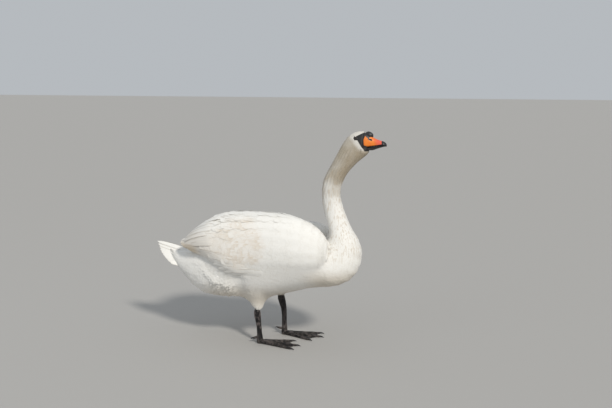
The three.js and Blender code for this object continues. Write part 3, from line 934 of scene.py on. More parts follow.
# Feather shapes, one unit long along +Y with the root at the origin and the outer face up.
def leafShape(name, profile, camber, sag, thickness):
    # profile: share of the length and half width; one corner to either side of a raised quill.
    points, flat = [(0, 0, 0)], [(0.5, 0.0)]
    for share, half in profile:
        droop = -sag * share * share
        points += [(-half, share, droop - camber), (0, share, droop), (half, share, droop - camber),
                   (0, share, droop - camber - thickness)]
        flat += [(0, share), (0.5, share), (1, share), (0.5, share)]
    points.append((0, 1, -sag - camber * 0.7))
    flat.append((0.5, 1))
    last = len(points) - 1
    turns = [(k, (k + 1) % 4) for k in range(4)]
    faces = [(0, 1 + b, 1 + a) for a, b in turns]
    faces += [(i + a, i + b, i + b + 4, i + a + 4) for i in range(1, last - 4, 4) for a, b in turns]
    faces += [(last - 4 + a, last - 4 + b, last) for a, b in turns]
    mesh = bpy.data.meshes.new(name)
    mesh.from_pydata(points, [], faces)
    corners = np.array([flat[loop.vertex_index] for loop in mesh.loops], np.float32)
    mesh.uv_layers.new(name="leaf").data.foreach_set("uv", corners.ravel())
    mesh.shade_smooth()
    mesh.set_sharp_from_angle(angle=math.radians(rimAngle))
    return outward(linked(name, mesh))


leafShapes = {  # profile, camber, sag, thickness
    "plume": ([(0.5, 0.5)], 0.03, 0.03, 0.03),
    "soft": ([(0.15, 0.32), (0.55, 0.5), (0.83, 0.38), (0.96, 0.17)], 0.035, 0.02, 0.015),
    "broad": ([(0.1, 0.3), (0.45, 0.48), (0.72, 0.5), (0.88, 0.41), (0.97, 0.22)], 0.035, 0.015, 0.012),
}
leaves = {kind: leafShape(kind + "Leaf", *shape) for kind, shape in leafShapes.items()}
coatNumbers = {
    "Spacing": 0.004, "Width": 0.5, "Lift": 0.08, "Lift Spread": 0.012, "Turn Spread": 0.10,
    "Roll Spread": 0.04, "Shortest": 0.85, "Longest": 1.15, "Sink": 0.001, "Patch": 0.003,
}


def coatTree():
    # Scatters feathers over a skin by its own fields of lie, length and cover.
    tree = bpy.data.node_groups.new("coat", "GeometryNodeTree")
    face = tree.interface
    numbers = {name: "Float" for name in coatNumbers}
    sockets = {"Skin": "Geometry", **numbers, "Seed": "Int", "Leaf": "Object", "Finish": "Material"}
    for name, kind in sockets.items():
        socket = face.new_socket(name, in_out="INPUT", socket_type="NodeSocket" + kind)
        if name in coatNumbers:
            socket.default_value = coatNumbers[name]
    face.new_socket("Coat", in_out="OUTPUT", socket_type="NodeSocketGeometry")
    entry = tree.nodes.new("NodeGroupInput")
    value = {socket.name: Wire(tree, socket) for socket in entry.outputs if socket.name}

    def geometryNode(kind, settings=None, **inputs):
        inputs = {name.replace("_", " "): given for name, given in inputs.items()}
        return addNode(tree, "GeometryNode" + kind, settings, inputs)

    def field(name, kind="FLOAT"):
        return geometryNode("InputNamedAttribute", {"data_type": kind}, Name=name)

    def kept(geometry, name, what, kind="FLOAT", domain="POINT"):
        settings = {"data_type": kind, "domain": domain}
        return geometryNode("StoreNamedAttribute", settings, Geometry=geometry, Name=name, Value=what)

    def chance(low, high, turn):
        inputs = {2: low, 3: high, 8: value["Seed"] + turn}
        return addNode(tree, "FunctionNodeRandomValue", {"data_type": "FLOAT"}, inputs, output=1)

    def spread(name, turn):
        return chance(0 - value[name], value[name], turn)

    def joined(kind, *values, settings=None):
        return addNode(tree, kind, settings, dict(enumerate(values)))

    crowd = 7.0 / value["Spacing"].squared()
    points = geometryNode("DistributePointsOnFaces", {"distribute_method": "POISSON"}, Mesh=value["Skin"],
                          Selection=field("cover").exceeds(0.3), Distance_Min=value["Spacing"],
                          Density_Max=crowd, Density_Factor=field("cover"), Seed=value["Seed"])
    normal = field("skinNormal", "FLOAT_VECTOR")
    points = kept(points, "rootPlace", field("OFBake", "FLOAT_VECTOR"), "FLOAT_VECTOR")
    points = kept(points, "tone", chance(0.0, 1.0, 5))
    sunk = normal.vector("SCALE", value["Sink"] * chance(-1.0, -0.4, 6))
    points = geometryNode("SetPosition", Geometry=points, Offset=sunk)
    turned = joined("FunctionNodeAxesToRotation", normal, field("lie", "FLOAT_VECTOR"),
                    settings={"primary_axis": "Z", "secondary_axis": "Y"})
    lift = value["Lift"] * field("stand") + field("rise") + spread("Lift Spread", 1)
    angles = joined("ShaderNodeCombineXYZ", lift, spread("Roll Spread", 2), spread("Turn Spread", 3))
    turned = joined("FunctionNodeRotateRotation", turned, joined("FunctionNodeEulerToRotation", angles),
                    settings={"rotation_space": "LOCAL"})
    long = field("length") * chance(value["Shortest"], value["Longest"], 4)
    size = joined("ShaderNodeCombineXYZ", long * value["Width"], long, long)
    leaf = addNode(tree, "GeometryNodeObjectInfo", None, {"Object": value["Leaf"]}, output=4)
    coat = geometryNode("InstanceOnPoints", Points=points, Instance=leaf, Rotation=turned, Scale=size)
    coat = geometryNode("RealizeInstances", Geometry=coat)
    spot = field("leaf", "FLOAT_VECTOR").vector("SUBTRACT", (0.5, 0.5, 0)).vector("SCALE", value["Patch"])
    spot = field("rootPlace", "FLOAT_VECTOR").vector("ADD", spot)
    coat = kept(coat, "OFBake", spot, "FLOAT2", "CORNER")
    coat = geometryNode("SetMaterial", Geometry=coat, Material=value["Finish"])
    tree.links.new(coat.socket, tree.nodes.new("NodeGroupOutput").inputs[0])
    return tree


def coatMaterial():
    # Feathers shade partly as the skin under them does, which keeps the plumage soft.
    finish = Finish("coatPlumage", 0.8)
    tone = finish.attribute("tone")
    along, beside = finish.leafPlace()
    # Painted shade along each feather's edge and tip.
    rim = beside.step(0.36, 0.5).most(along.step(0.84, 1.0))
    colour = plumageColour(finish, tone.step(0.3, 0.9) * (0.35 + 0.5 * along.step(0.95, 0.55)))
    # The root tint darkens each root as painted shade under the feathers above.
    for amount, tint in ((tone.step(0.35, 1.0) * 0.14, "old"), (beside.step(0.05, 0.015) * 0.12, "quill"),
                         (along.step(0.35, 0.0) * 0.18, "root"), (rim * 0.16, "rim")):
        colour = mixed(amount, colour, leafTints[tint])
    skinNormal = finish.attribute("skinNormal", 1)
    ownNormal = addNode(finish.tree, "ShaderNodeNewGeometry", output=3)
    barbs = (along * 60 + beside * 40).sine()
    rough = finish.bumped(0.12, 0.0004, barbs, Normal=ownNormal)
    # The underside keeps its own.
    share = skinNormal.vector("DOT_PRODUCT", ownNormal, 1).step(0.0, 0.4) * 0.75
    both = skinNormal.vector("SCALE", share).vector("ADD", rough.vector("SCALE", 1 - share))
    return finish.feed(Base_Color=colour, Normal=both.vector("NORMALIZE"))


coatFinish, coatNodes = coatMaterial(), coatTree()


def zone(*names):
    return np.isin(skinFacts["kinds"], names)


def bandOfSpine(low, high, blend=0.25):
    ends = (low - blend, low + blend, high + blend, high - blend)
    return zone(*spineNodes) * within(skinFacts, {"station": ends})


def plumagePiece(piece):
    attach(piece, "root")
    print("stage:", piece.name, sum(len(p.vertices) - 2 for p in piece.data.polygons), "triangles")
    return piece


# Leaf, seed, spacing, width, lift and sink of each kind of coat; spacing and sink are in metres.
coatKinds = {
    "headPlumes": ("plume", 11, 0.0010, 0.42, 0.10, 0.0003),
    "neckPlumes": ("plume", 12, 0.0017, 0.38, 0.09, 0.0004),
    "breastFeathers": ("soft", 13, 0.0040, 0.50, 0.075, 0.0004),
    "flankFeathers": ("soft", 14, 0.0048, 0.50, 0.075, 0.0004),
    "rumpFeathers": ("soft", 15, 0.0050, 0.40, 0.09, 0.0004),
    "ventTufts": ("soft", 24, 0.0065, 0.34, 0.17, 0.0004),
    "thighFeathers": ("soft", 16, 0.0034, 0.44, 0.09, 0.0005),
    "wingFeathers": ("broad", 17, 0.0085, 0.62, 0.07, 0.0005),
    "wingFront": ("soft", 20, 0.0042, 0.60, 0.07, 0.0004),
}
looseSpread = {"ventTufts": {"Lift Spread": 0.09, "Turn Spread": 0.32, "Roll Spread": 0.25}}


def growCoat(name, kind, cover, seedShift=0):
    # One coat piece: cover is 0 to 1 at each point of the skin.
    host = linked(name + "Bed", skin.data.copy())
    setField(host.data, "cover", np.clip(cover * skinFacts["open"], 0, 1))
    growth = host.modifiers.new("growth", "NODES")
    growth.node_group = coatNodes
    leaf, seed, spacing, width, lift, sink = coatKinds[kind]
    given = {"Leaf": leaves[leaf], "Finish": coatFinish, "Seed": seed + seedShift, "Spacing": spacing,
             "Width": width, "Lift": lift, "Sink": sink, **looseSpread.get(kind, {})}
    for socket in coatNodes.interface.items_tree:
        if socket.in_out == "INPUT" and socket.name in given:
            growth[socket.identifier] = given[socket.name]
    piece = evaluated(host, name)
    grown = piece.data.attributes
    for spare in ("lie", "length", "bare", "cover", "stand", "rise", "rootPlace"):
        if spare in grown:
            grown.remove(grown[spare])
    plumagePiece(piece)


def growPlumage():
    place, flank = placeOf(skinFacts["points"]), bandOfSpine(2.4, 8.4)
    covers = {
        "headPlumes": bandOfSpine(19.8, 30), "neckPlumes": bandOfSpine(13.2, 19.8),
        "breastFeathers": bandOfSpine(8.4, 13.2), "flankFeathers": flank,
        "rumpFeathers": np.maximum(bandOfSpine(-1, 2.4), zone("tail")),
        "ventTufts": flank * within(place, skinZones["tufts"]), "thighFeathers": zone(*thighNodes),
    }
    for name, cover in covers.items():
        growCoat(name, name, cover)
    front = within(place, skinZones["wingFront"])
    for side, sign in sides.items():
        wing = zone(*wingNodes) * (place["y"] * sign > 0)
        growCoat(f"wingFeathers_{side}", "wingFeathers", wing * (1 - front), sign)
        growCoat(f"wingFront_{side}", "wingFront", wing * front, sign)


growPlumage()
for leaf in leaves.values():
    bpy.data.objects.remove(leaf)
print("stage: coat")


# Long feathers: closed vanes laid one by one, each row of corners draped over the skin or on a free line.
def rootPatch(point):
    # The place on the skin's unwrap nearest to a point.
    polygon = skin.data.polygons[skinTree.find_nearest(Vector(point))[2]]
    layer = skin.data.uv_layers["OFBake"].data
    return np.mean([layer[c].uv[:] for c in polygon.loop_indices], axis=0)


class VaneBed:
    # Collects vanes and makes them one mesh.
    def __init__(self):
        self.points, self.faces, self.bake, self.leaf, self.tone, self.normals = [], [], [], [], [], []

    def add(self, rows, widths, camber, thickness, tone):
        # rows: place, outer normal and heading at each step; widths: half widths in mm.
        start, last = len(self.points), len(rows) - 1
        patch = rootPatch(rows[0][0])
        outer, inner = (-1.0, -0.5, 0.0, 0.5, 1.0), (0.5, 0.0, -0.5)  # corners across, of the half width
        for i, ((place, normal, heading), half) in enumerate(zip(rows, widths)):
            cross = np.cross(normal, heading)
            body = min(1.0, half / max(widths) * 1.6)
            ring = [(c, -camber * body * c * c + 0.5 * body * (c == 0)) for c in outer]
            ring += [(c, -camber * body * c * c - thickness * body) for c in inner]
            for c, height in ring:
                flat = ((c + 1) / 2, i / last)
                self.points.append(place + cross * half * c + normal * height)
                self.leaf.append(flat)
                self.bake.append(patch + (np.array(flat) - 0.5) * coatNumbers["Patch"])
                self.tone.append(tone)
                self.normals.append(normal)
        grid = np.arange(start, len(self.points)).reshape(len(rows), -1)
        self.faces += [*quadsOf(grid), grid[0, ::-1], grid[-1]]

    def build(self, name):
        made = outward(newObject(name, self.points, self.faces, {"leaf": self.leaf, "OFBake": self.bake},
                                 {"tone": self.tone, "skinNormal": self.normals}))
        made.data.set_sharp_from_angle(angle=math.radians(rimAngle))
        made.data.materials.append(quillFinish)
        return plumagePiece(made)


def vaneWidths(count, half, base=0.55, point=0.9):
    # Half widths from root to tip, with a rounded point.
    t = np.linspace(0, 1, count)
    rise = base + (1 - base) * smoothstep(t, 0, 0.35)
    fall = np.sqrt(np.clip(1 - (np.clip(t - point, 0, 1) / (1 - point)) ** 2, 0.0, 1))
    taper = 1 - 0.25 * smoothstep(t, 0.45, 1)
    return half * np.maximum(rise * fall * taper, 0.05)


# How a vane is laid: steps along it, rounds of smoothing, and distances in millimetres.
drape = {"steps": 16, "calming": 4, "from": 90, "reach": 130, "rootDepth": 2.5, "rise": 1.5}


def drapedRows(start, end, hint, lift):
    # Steps over the bed from start to end, seen from the side of hint. Past its edge the vane runs straight.
    hint, count = unit(hint), drape["steps"]
    places, normals, landed = [], [], False
    step = (end - start) / (count - 1)
    for i in range(count):
        above = Vector(start + step * i + hint * drape["from"])
        hit = skinFacts["bed"].ray_cast(above, Vector(-hint), drape["reach"])
        landed = landed or hit[0] is not None
        if hit[0] is None and not landed:
            hit = skinTree.ray_cast(above, Vector(-hint))
        places.append(places[-1] + step if hit[0] is None else np.array(hit[0]))
        normals.append(normals[-1] if hit[0] is None else np.array(hit[1]))
    places, normals = np.array(places), np.array(normals)
    for _ in range(drape["calming"]):
        places[1:-1] = (places[:-2] + 2 * places[1:-1] + places[2:]) / 4
        normals[1:-1] = unit(normals[:-2] + 2 * normals[1:-1] + normals[2:])
        normals[-1] = unit(normals[-1] + normals[-2])
    headings = unit(np.gradient(places, axis=0))
    normals = across(normals, headings)
    t, depth = np.linspace(0, 1, count), drape["rootDepth"]
    height = (lift + depth) * smoothstep(t, 0, 0.3) - depth + drape["rise"] * t
    return list(zip(places + normals * height[:, None], normals, headings))


def freeRows(root, tip, normal, count, sag):
    rows, normal = [], unit(normal)
    for t in np.linspace(0, 1, count):
        place = root + (tip - root) * t + normal * sag * 4 * t * (1 - t)
        heading = unit((tip - root) + normal * sag * 4 * (1 - 2 * t))
        rows.append((place, unit(normal - heading * (normal @ heading)), heading))
    return rows


# How far the shoulder and the tip hang lower than the other side's.
wingDrop = {"right": (0, 0), "left": (50, 20)}
wingQuills = {
    "primaries": {
        "tips": [(-318, 44, 388), (-325, 50, 384), (-328, 57, 380), (-325, 64, 376), (-318, 71, 372),
                 (-309, 78, 369), (-298, 86, 366)],
        "slopes": (-16, 6), "inward": (0.30, 0.26), "length": 160, "half": 11, "lift": 0.5, "topmost": 20,
        "hint": (0, 0.8, 0.6), "tone": 0.8},
    "secondaries": {
        "tips": [(-88, 122, 284), (-115, 122, 291), (-140, 122, 303), (-163, 120, 319), (-185, 116, 336),
                 (-205, 112, 351), (-226, 108, 362), (-248, 104, 369), (-271, 99, 372), (-292, 92, 374)],
        "slopes": (-5, 16), "inward": (0.0, 0.16), "length": 168, "half": 15, "lift": 1.8, "topmost": 20,
        "hint": (0, 0.97, 0.25), "tone": 0.2},
    "tertials": {
        "tips": [(-292, 88, 372), (-302, 78, 377), (-305, 68, 383), (-303, 58, 390), (-295, 51, 398),
                 (-282, 48, 407), (-266, 47, 416), (-248, 48, 425), (-228, 50, 434)],
        "slopes": (-3, -31), "inward": (0.26, 0.24), "length": 170, "half": 17, "lift": 4.8, "topmost": 5,
        "hint": (0, 0.65, 0.76), "tone": 0.6},
}


def wingQuillsOf(side, sign):
    bed = VaneBed()
    lowShoulder, lowTip = wingDrop[side]
    for group in wingQuills.values():
        for i, (x, y, z) in enumerate(group["tips"]):
            share = i / (len(group["tips"]) - 1)
            slope = math.radians(np.interp(share, (0, 1), group["slopes"]))
            inward = np.interp(share, (0, 1), group["inward"])
            ends = []
            for ahead in (group["length"] * (0.95 + 0.05 * math.sin(i * 2.4)), 0):
                along = x + ahead * math.cos(slope)
                low = lowTip + (lowShoulder - lowTip) * smoothstep(along, -120, 200)
                ends.append(np.array((along, sign * (y + ahead * inward), z - ahead * math.sin(slope) - low)))
            lift = group["lift"] + 0.4 * i - 0.9 * max(0, i - group["topmost"])
            rows = drapedRows(*ends, np.array(group["hint"]) * (1, sign, 1), lift)
            widths = vaneWidths(drape["steps"], group["half"], 0.6, 0.82)
            bed.add(rows, widths, 1.0, 1.0, 0.15 + 0.7 * ((i * 0.37 + group["tone"]) % 1))
    return bed.build(f"wingQuills_{side}")


tailFan = {
    "tips": [(6, -458, 369), (10, -452, 359), (16, -445, 349), (24, -438, 341), (31, -430, 333),
             (39, -419, 325), (46, -408, 318), (53, -395, 310), (60, -380, 303)],  # side, x, z of each pair
    "root": (-310, 0.55, 332),  # x, share of the tip's side, z
    "half": (9, 13.5),  # half widths of the middle pair and of the others
    "lean": 0.84,
    "apart": 0.8,
}


def tailFeathers():
    bed, count = VaneBed(), 12
    rootX, inward, rootZ = tailFan["root"]
    for i, (y, x, z) in enumerate(tailFan["tips"]):
        for sign in (1, -1):
            out = np.array((0.15, sign * math.sin(tailFan["lean"]), math.cos(tailFan["lean"])))
            under = out * tailFan["apart"] * i
            root = np.array((rootX, sign * y * inward, rootZ - i * 5.5)) - under
            rows = freeRows(root, np.array((x, sign * y, z)) - under, out, count, 5)
            bed.add(rows, vaneWidths(count, tailFan["half"][min(i, 1)], 0.75, 0.78), 1.4, 1.1, (i * 0.41) % 1)
    return bed.build("tailFeathers")


def quillMaterial():
    # Long feathers: a pale shaft, fine barbs running out to the edges, and a thin painted shade along the
    # rim, where the vanes overlap.
    finish = Finish("quillPlumage", 0.62)
    along, beside = finish.leafPlace()
    barbs = (along * 420 + beside * 160).sine()
    colour = plumageColour(finish)
    for amount, tint in ((finish.attribute("tone") * 0.12, "old"), (beside.step(0.36, 0.5) * 0.45, "rim"),
                         (beside.step(0.05, 0.02) * 0.35, "shaft"), (barbs.step(-1, 1) * 0.03, "barb")):
        colour = mixed(amount, colour, vaneTints[tint])
    return finish.feed(Base_Color=colour, Normal=finish.bumped(0.25, 0.0003, barbs))


quillFinish = quillMaterial()
for side, sign in sides.items():
    wingQuillsOf(side, sign)
tailVanes = tailFeathers()
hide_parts("tail")


# Bill, knob, nail and eyes.
def splined(rows, count):
    # Smooth values between a table's rows.
    rows = np.asarray(rows, float)
    padded = np.vstack([2 * rows[0] - rows[1], rows, 2 * rows[-1] - rows[-2]])
    place = np.linspace(0, len(rows) - 1, count)
    i = np.minimum(place.astype(int), len(rows) - 2)
    f = (place - i)[:, None]
    a, b, c, d = (padded[i + k] for k in range(4))
    slope, bend, twist = c - a, 2 * a - 5 * b + 4 * c - d, 3 * b - a - 3 * c + d
    return 0.5 * (2 * b + slope * f + bend * f ** 2 + twist * f ** 3)


billSizes = {
    "columns": ("x", "ridge", "mouth", "chin", "half"),
    "rows": [
        (386, 824, 768, 761, 21.2), (394, 824, 768.5, 760, 21.6), (402, 822, 769.5, 759.5, 20.6),
        (415, 815, 771.5, 759.5, 17.9), (427, 807, 773.5, 760.5, 15.2), (439, 801, 775.3, 765, 13.9),
        (451, 797, 776.6, 769, 13.4), (461, 794, 777.4, 772, 13.0), (469, 790.5, 777.4, 774.2, 11.2),
        (474.5, 786.2, 776.2, 774.6, 7.6), (477, 781.5, 774.8, 774.4, 3.2),
    ],
    "fine": 400,  # places worked out between the rows
    "squareness": 2.15,
    "upper": {"low": "mouth", "high": "ridge", "widest": 0.22, "steps": 100, "around": 72},
    "nail": {"low": "mouth", "high": "ridge", "widest": 0.22, "steps": 26, "around": 48, "first": 0.66},
    "lower": {"low": "chin", "high": "mouth", "widest": 0.7, "steps": 60, "around": 48, "last": 0.93,
              "narrower": 1.2},
    "nailShape": {"slant": 8, "proud": 0.55, "slantEnd": 474},
    "gape": 0.4,
    "nostril": {"x": 418.5, "z": 799.6, "long": 5.6, "high": 2.5, "tilt": -0.3, "depth": 2.4},
    "knob": {"x": 410.5, "z": 814, "length": 16.5, "width": 10.5, "height": 14.5, "pitch": 0.35},
}


def billRings(low, high, widest, steps, around, first=0.0, last=1.0, narrower=0):
    # Rings from first to last along the bill, between its low and high outlines.
    final = billSizes["fine"] - 1
    rows = splined(billSizes["rows"], billSizes["fine"])[int(first * final):int(last * final) + 1]
    rings = []
    for row in rows[np.linspace(0, len(rows) - 1, steps).astype(int)]:
        at = dict(zip(billSizes["columns"], row))
        middle = at[low] + (at[high] - at[low]) * widest
        half, up, down = (0, at["half"] - narrower, 0), (0, 0, at[high] - middle), (0, 0, middle - at[low])
        rings.append(ovalRing((at["x"], 0, middle), half, up, around, billSizes["squareness"], down))
    return np.array(rings)


def nostrilReach(x, z, long=1.0, high=1.0):
    # 0 in the nostril's middle and 1 on its outline, squared; for arrays and wires.
    nose = billSizes["nostril"]
    ahead, above, c, s = x - nose["x"], z - nose["z"], math.cos(nose["tilt"]), math.sin(nose["tilt"])
    along = (ahead * c + above * s) / (nose["long"] * long)
    over = (above * c - ahead * s) / (nose["high"] * high)
    return along * along + over * over


def cuttingEdge(x):
    return 774.2 + (x - 412.7) * 0.1875


def upperBill():
    rings = billRings(**billSizes["upper"])
    x, y, z = np.moveaxis(rings, -1, 0)
    reach = np.sqrt(nostrilReach(x, z))
    slit = smoothstep(reach, 1.15, 0.45) * billSizes["nostril"]["depth"]
    groove = bell(z - cuttingEdge(x), 0, 0.8) * 0.25 * smoothstep(x, 398, 410)
    rings[..., 1] = y - np.sign(y) * (slit - bell(reach, 1.35, 0.35) * 0.5 + groove)
    return newObject("billUpper", *ringLoft(rings))


def billNail():
    nail, rings = billSizes["nailShape"], billRings(**billSizes["nail"])
    start = rings[0, 0, 0]
    swollen = []
    for ring in rings:
        share = smoothstep(ring[0, 0], start, start + 5)
        height = np.clip((ring[:, 2] - ring[:, 2].min()) / max(np.ptp(ring[:, 2]), 1e-6), 0, 1)
        out = unit(ring - ring.mean(0)) * (nail["proud"] * (1.6 * share - 0.6))
        slant = nail["slant"] * (1 - height) * smoothstep(ring[0, 0], nail["slantEnd"], start)
        swollen.append(ring + out + np.outer(slant, (1, 0, 0)))
    return newObject("billNail", *ringLoft(swollen))


def lowerBill():
    rings = billRings(**billSizes["lower"])
    rings[..., 2] -= billSizes["gape"]
    middle = rings.mean(1, keepdims=True)
    shrink = 1 - 0.6 * smoothstep(np.linspace(0, 1, len(rings)), 0.93, 1.0)[:, None, None]
    rings = middle + (rings - middle) * np.where((True, False, False), 1, shrink)
    return newObject("billLower", *ringLoft(rings))


def knobShape():
    knob = billSizes["knob"]
    x, y, z = np.moveaxis(ballRings(40, 48, 0.04) * (-knob["length"], knob["width"], knob["height"]), -1, 0)
    swell = 1 + 0.03 * np.sin(x / 3.1 + 1) * np.cos(z / 4.0) + 0.015 * np.sin(x * 0.9 + y * 0.7 + z * 0.8)
    c, s = math.cos(knob["pitch"]), math.sin(knob["pitch"])
    turned = np.stack([x * c + z * s, y, z * c - x * s], axis=-1) * swell[..., None]
    return newObject("knob", *ringLoft(turned + (knob["x"], 0, knob["z"])))


def eyeBall(side, sign):
    x, half, z, radius = faceSizes["eye"]
    ball = ballRings(28, 40, 0.05)[..., [1, 0, 2]] * radius + (x, sign * half, z)
    return newObject(f"eye_{side}_ball", *ringLoft(ball))


lidSizes = {
    "wide": 1.13, "tall": 0.92, "corner": 0.10, "inner": 4.2, "crest": 5.3, "outer": 7.2, "proud": 0.55,
    "tilt": -0.18, "around": 56,
}


def eyeLid(side, sign):
    # A closed rim around the opening, a little pointed before and behind.
    x, half, z, radius = faceSizes["eye"]
    inner, crest, outer = lidSizes["inner"], lidSizes["crest"], lidSizes["outer"]
    innerY, ballY = (half + math.sqrt(max(radius ** 2 - (r * 0.97) ** 2, 0.5)) for r in (inner, crest))
    c, s = math.cos(lidSizes["tilt"]), math.sin(lidSizes["tilt"])
    sections = []
    for turn in np.linspace(0, 2 * math.pi, lidSizes["around"], endpoint=False):
        u = math.cos(turn) * lidSizes["wide"] * (1 + lidSizes["corner"] * abs(math.cos(turn)) ** 6)
        v = math.sin(turn) * lidSizes["tall"]
        away = np.array((u * c - v * s, u * s + v * c))
        outside = Vector((x + outer * away[0], sign * 400, z + outer * away[1]))
        skinY = abs(skinTree.ray_cast(outside, Vector((0, -sign, 0)))[0].y)
        crestY = max(ballY, skinY) + lidSizes["proud"]
        section = ((outer, skinY - 0.5), ((outer + crest) / 2, (skinY + crestY) / 2 + 0.12), (crest, crestY),
                   ((inner + crest) / 2, max(innerY, crestY - 0.1)), (inner, innerY + 0.12),
                   (inner + 0.2, innerY - 1.2), (outer - 0.3, skinY - 2.2))
        sections.append([(x + reach * away[0], sign * y, z + reach * away[1]) for reach, y in section])
    sections = np.array(sections)
    grid = np.arange(sections[..., 0].size).reshape(sections.shape[:2])
    return newObject(f"eyeLid_{side}", sections.reshape(-1, 3), quadsOf(np.vstack([grid, grid[:1]])))


hornColours = {
    "orange": (0.86, 0.235, 0.018), "deep": (0.80, 0.15, 0.012), "pink": (0.78, 0.105, 0.075),
    "brown": (0.45, 0.16, 0.05), "black": (0.011, 0.0105, 0.012), "worn": (0.035, 0.032, 0.034),
    "pupil": (0.004, 0.003, 0.003), "iris": ((0.02, 0.009, 0.005), (0.055, 0.025, 0.012)),
    "lid": ((0.009, 0.008, 0.009), (0.028, 0.026, 0.027)),
    "leg": ((0.006, 0.0055, 0.006), (0.15, 0.126, 0.12)),
    "dust": (0.13, 0.11, 0.09), "seam": (0.012, 0.011, 0.011),
}


billMarks = {  # in millimetres, seen from the side
    "pink": {"z": 790, "lean": 0.4, "ends": (426, 452)},
    "rear": {"x": 392.4, "z": 788, "bend": 0.045, "straighter": 0.0343},  # straighter above z
    "front": {"z": 790, "lean": -0.55, "ends": (466, 461)},
    "notch": {"x": 402.5, "z": 813.5, "slope": 0.98, "end": 411.5, "steepness": 3.0, "height": 4.2},
    "roof": {"x": 412, "z": 806.2, "slope": 0.46, "top": 811.2, "end": 430, "steepness": 1.2},
    "bridge": {"x": 411.5, "z": 800, "half": 2.6},
    "nostril": {"long": 1.25, "high": 1.35},
}


def orangePlate(x, z, wobble):
    # The orange plate runs from a curved edge at the lores to the nail, over the black cutting edge.
    rear, front = billMarks["rear"], billMarks["front"]
    rise = z - rear["z"]
    edge = rear["x"] + rise.squared() * (rear["bend"] - rise.step(-1, 1) * rear["straighter"]) + wobble
    plate = (x - edge).step(-0.6, 0.9) * (z - (cuttingEdge(x) + 0.2 + wobble * 0.4)).step(-0.5, 0.9)
    return plate * (x + (z - front["z"]) * front["lean"]).step(*front["ends"])


def blackOverPlate(x, z):
    # Black from the knob runs down in a notch, then in a band over the nostril.
    notch, roof, bridge = billMarks["notch"], billMarks["roof"], billMarks["bridge"]
    fall = (z - notch["z"] + (x - notch["x"]) * notch["slope"]).most((x - notch["end"]) * notch["steepness"])
    band = z - (roof["z"] + (x - roof["x"]).most(0.0) * roof["slope"]).least(roof["top"])
    band = band.least((roof["end"] - x) * roof["steepness"]).least(fall + notch["height"])
    stalk = ((x - bridge["x"]).size() - bridge["half"]).step(0.8, -0.6) * (z - bridge["z"]).step(-1, 2)
    hole = nostrilReach(x, z, **billMarks["nostril"]).step(1.25, 0.8)
    return band.step(-0.6, 0.7), hole.most(stalk)


def billMaterial():
    finish, colours = Finish("billHorn", 0.42, Coat_Weight=0.15, Coat_Roughness=0.25), hornColours
    point = finish.point
    x, _, z = finish.millimetres()
    wobble, grain = (point.noise(160, 2) - 0.5) * 1.6, point.noise(420, 4)
    colour = mixed(point.noise(60).step(0.4, 0.7) * 0.6, colours["orange"], colours["deep"])
    pink = billMarks["pink"]
    colour = mixed((x + (z - pink["z"]) * pink["lean"]).step(*pink["ends"]) * 0.9, colour, colours["pink"])
    colour = mixed(grain.step(0.5, 0.75) * 0.12, colour, colours["brown"])
    band, spot = blackOverPlate(x, z)
    plate = orangePlate(x, z, wobble) * (1 - band) * (1 - spot)
    dark = mixed(grain * 0.5, colours["black"], colours["worn"])
    pits = point.noise(900) * 0.6 + point.vector("MULTIPLY", (0.35, 1, 1)).noise(260)
    return finish.feed(Base_Color=mixed(plate, dark, colour), Roughness=0.36 + grain * 0.2,
                       Normal=finish.bumped(0.25, 0.0006, pits))


def blackHornMaterial(name, roughness=0.42):
    finish = Finish(name, roughness, Coat_Weight=0.1, Coat_Roughness=0.3)
    grain = finish.point.noise(380, 4)
    colour = mixed(grain.step(0.4, 0.75), hornColours["black"], hornColours["worn"])
    bump = finish.bumped(0.3, 0.0005, finish.point.noise(650, 4))
    return finish.feed(Base_Color=colour, Roughness=roughness - 0.06 + grain * 0.18, Normal=bump)


def eyeMaterial():
    # Dark brown iris around a black pupil.
    finish = Finish("darkEye", 0.06, Coat_Weight=1.0, Coat_Roughness=0.03)
    x, _, z = finish.millimetres()
    eyeX, _, eyeZ, _ = faceSizes["eye"]
    away = ((x - eyeX).squared() + (z - eyeZ).squared()).root()
    iris = away.step(2.0, 2.4) * away.step(4.6, 4.0)
    brown = mixed(finish.point.noise(900), *hornColours["iris"])
    return finish.feed(Base_Color=mixed(iris, hornColours["pupil"], brown))


def bareSkinMaterial():
    finish = Finish("bareFace", 0.5)
    grain = finish.point.noise(500, 4)
    return finish.feed(Base_Color=mixed(grain, *hornColours["lid"]), Normal=finish.bumped(0.5, 0.0004, grain))


def finishPiece(piece, material, slot, *nodes):
    outward(piece)
    piece.data.materials.append(material)
    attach(piece, "root")
    if nodes:
        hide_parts(*nodes)


blackHorn = blackHornMaterial("blackHorn")
finishPiece(upperBill(), billMaterial(), "orange_horn", "bill_upper")
finishPiece(billNail(), blackHorn, "black_horn", "bill_nail")
finishPiece(lowerBill(), blackHorn, "black_horn", "bill_lower")
finishPiece(knobShape(), blackHorn, "black_horn", "knob")
eyeFinish, lidFinish = eyeMaterial(), bareSkinMaterial()
for side, sign in sides.items():
    finishPiece(eyeBall(side, sign), eyeFinish, "eye", f"eye_{side}")
    finishPiece(eyeLid(side, sign), lidFinish, "stained_flesh")
print("stage: bill and eyes")


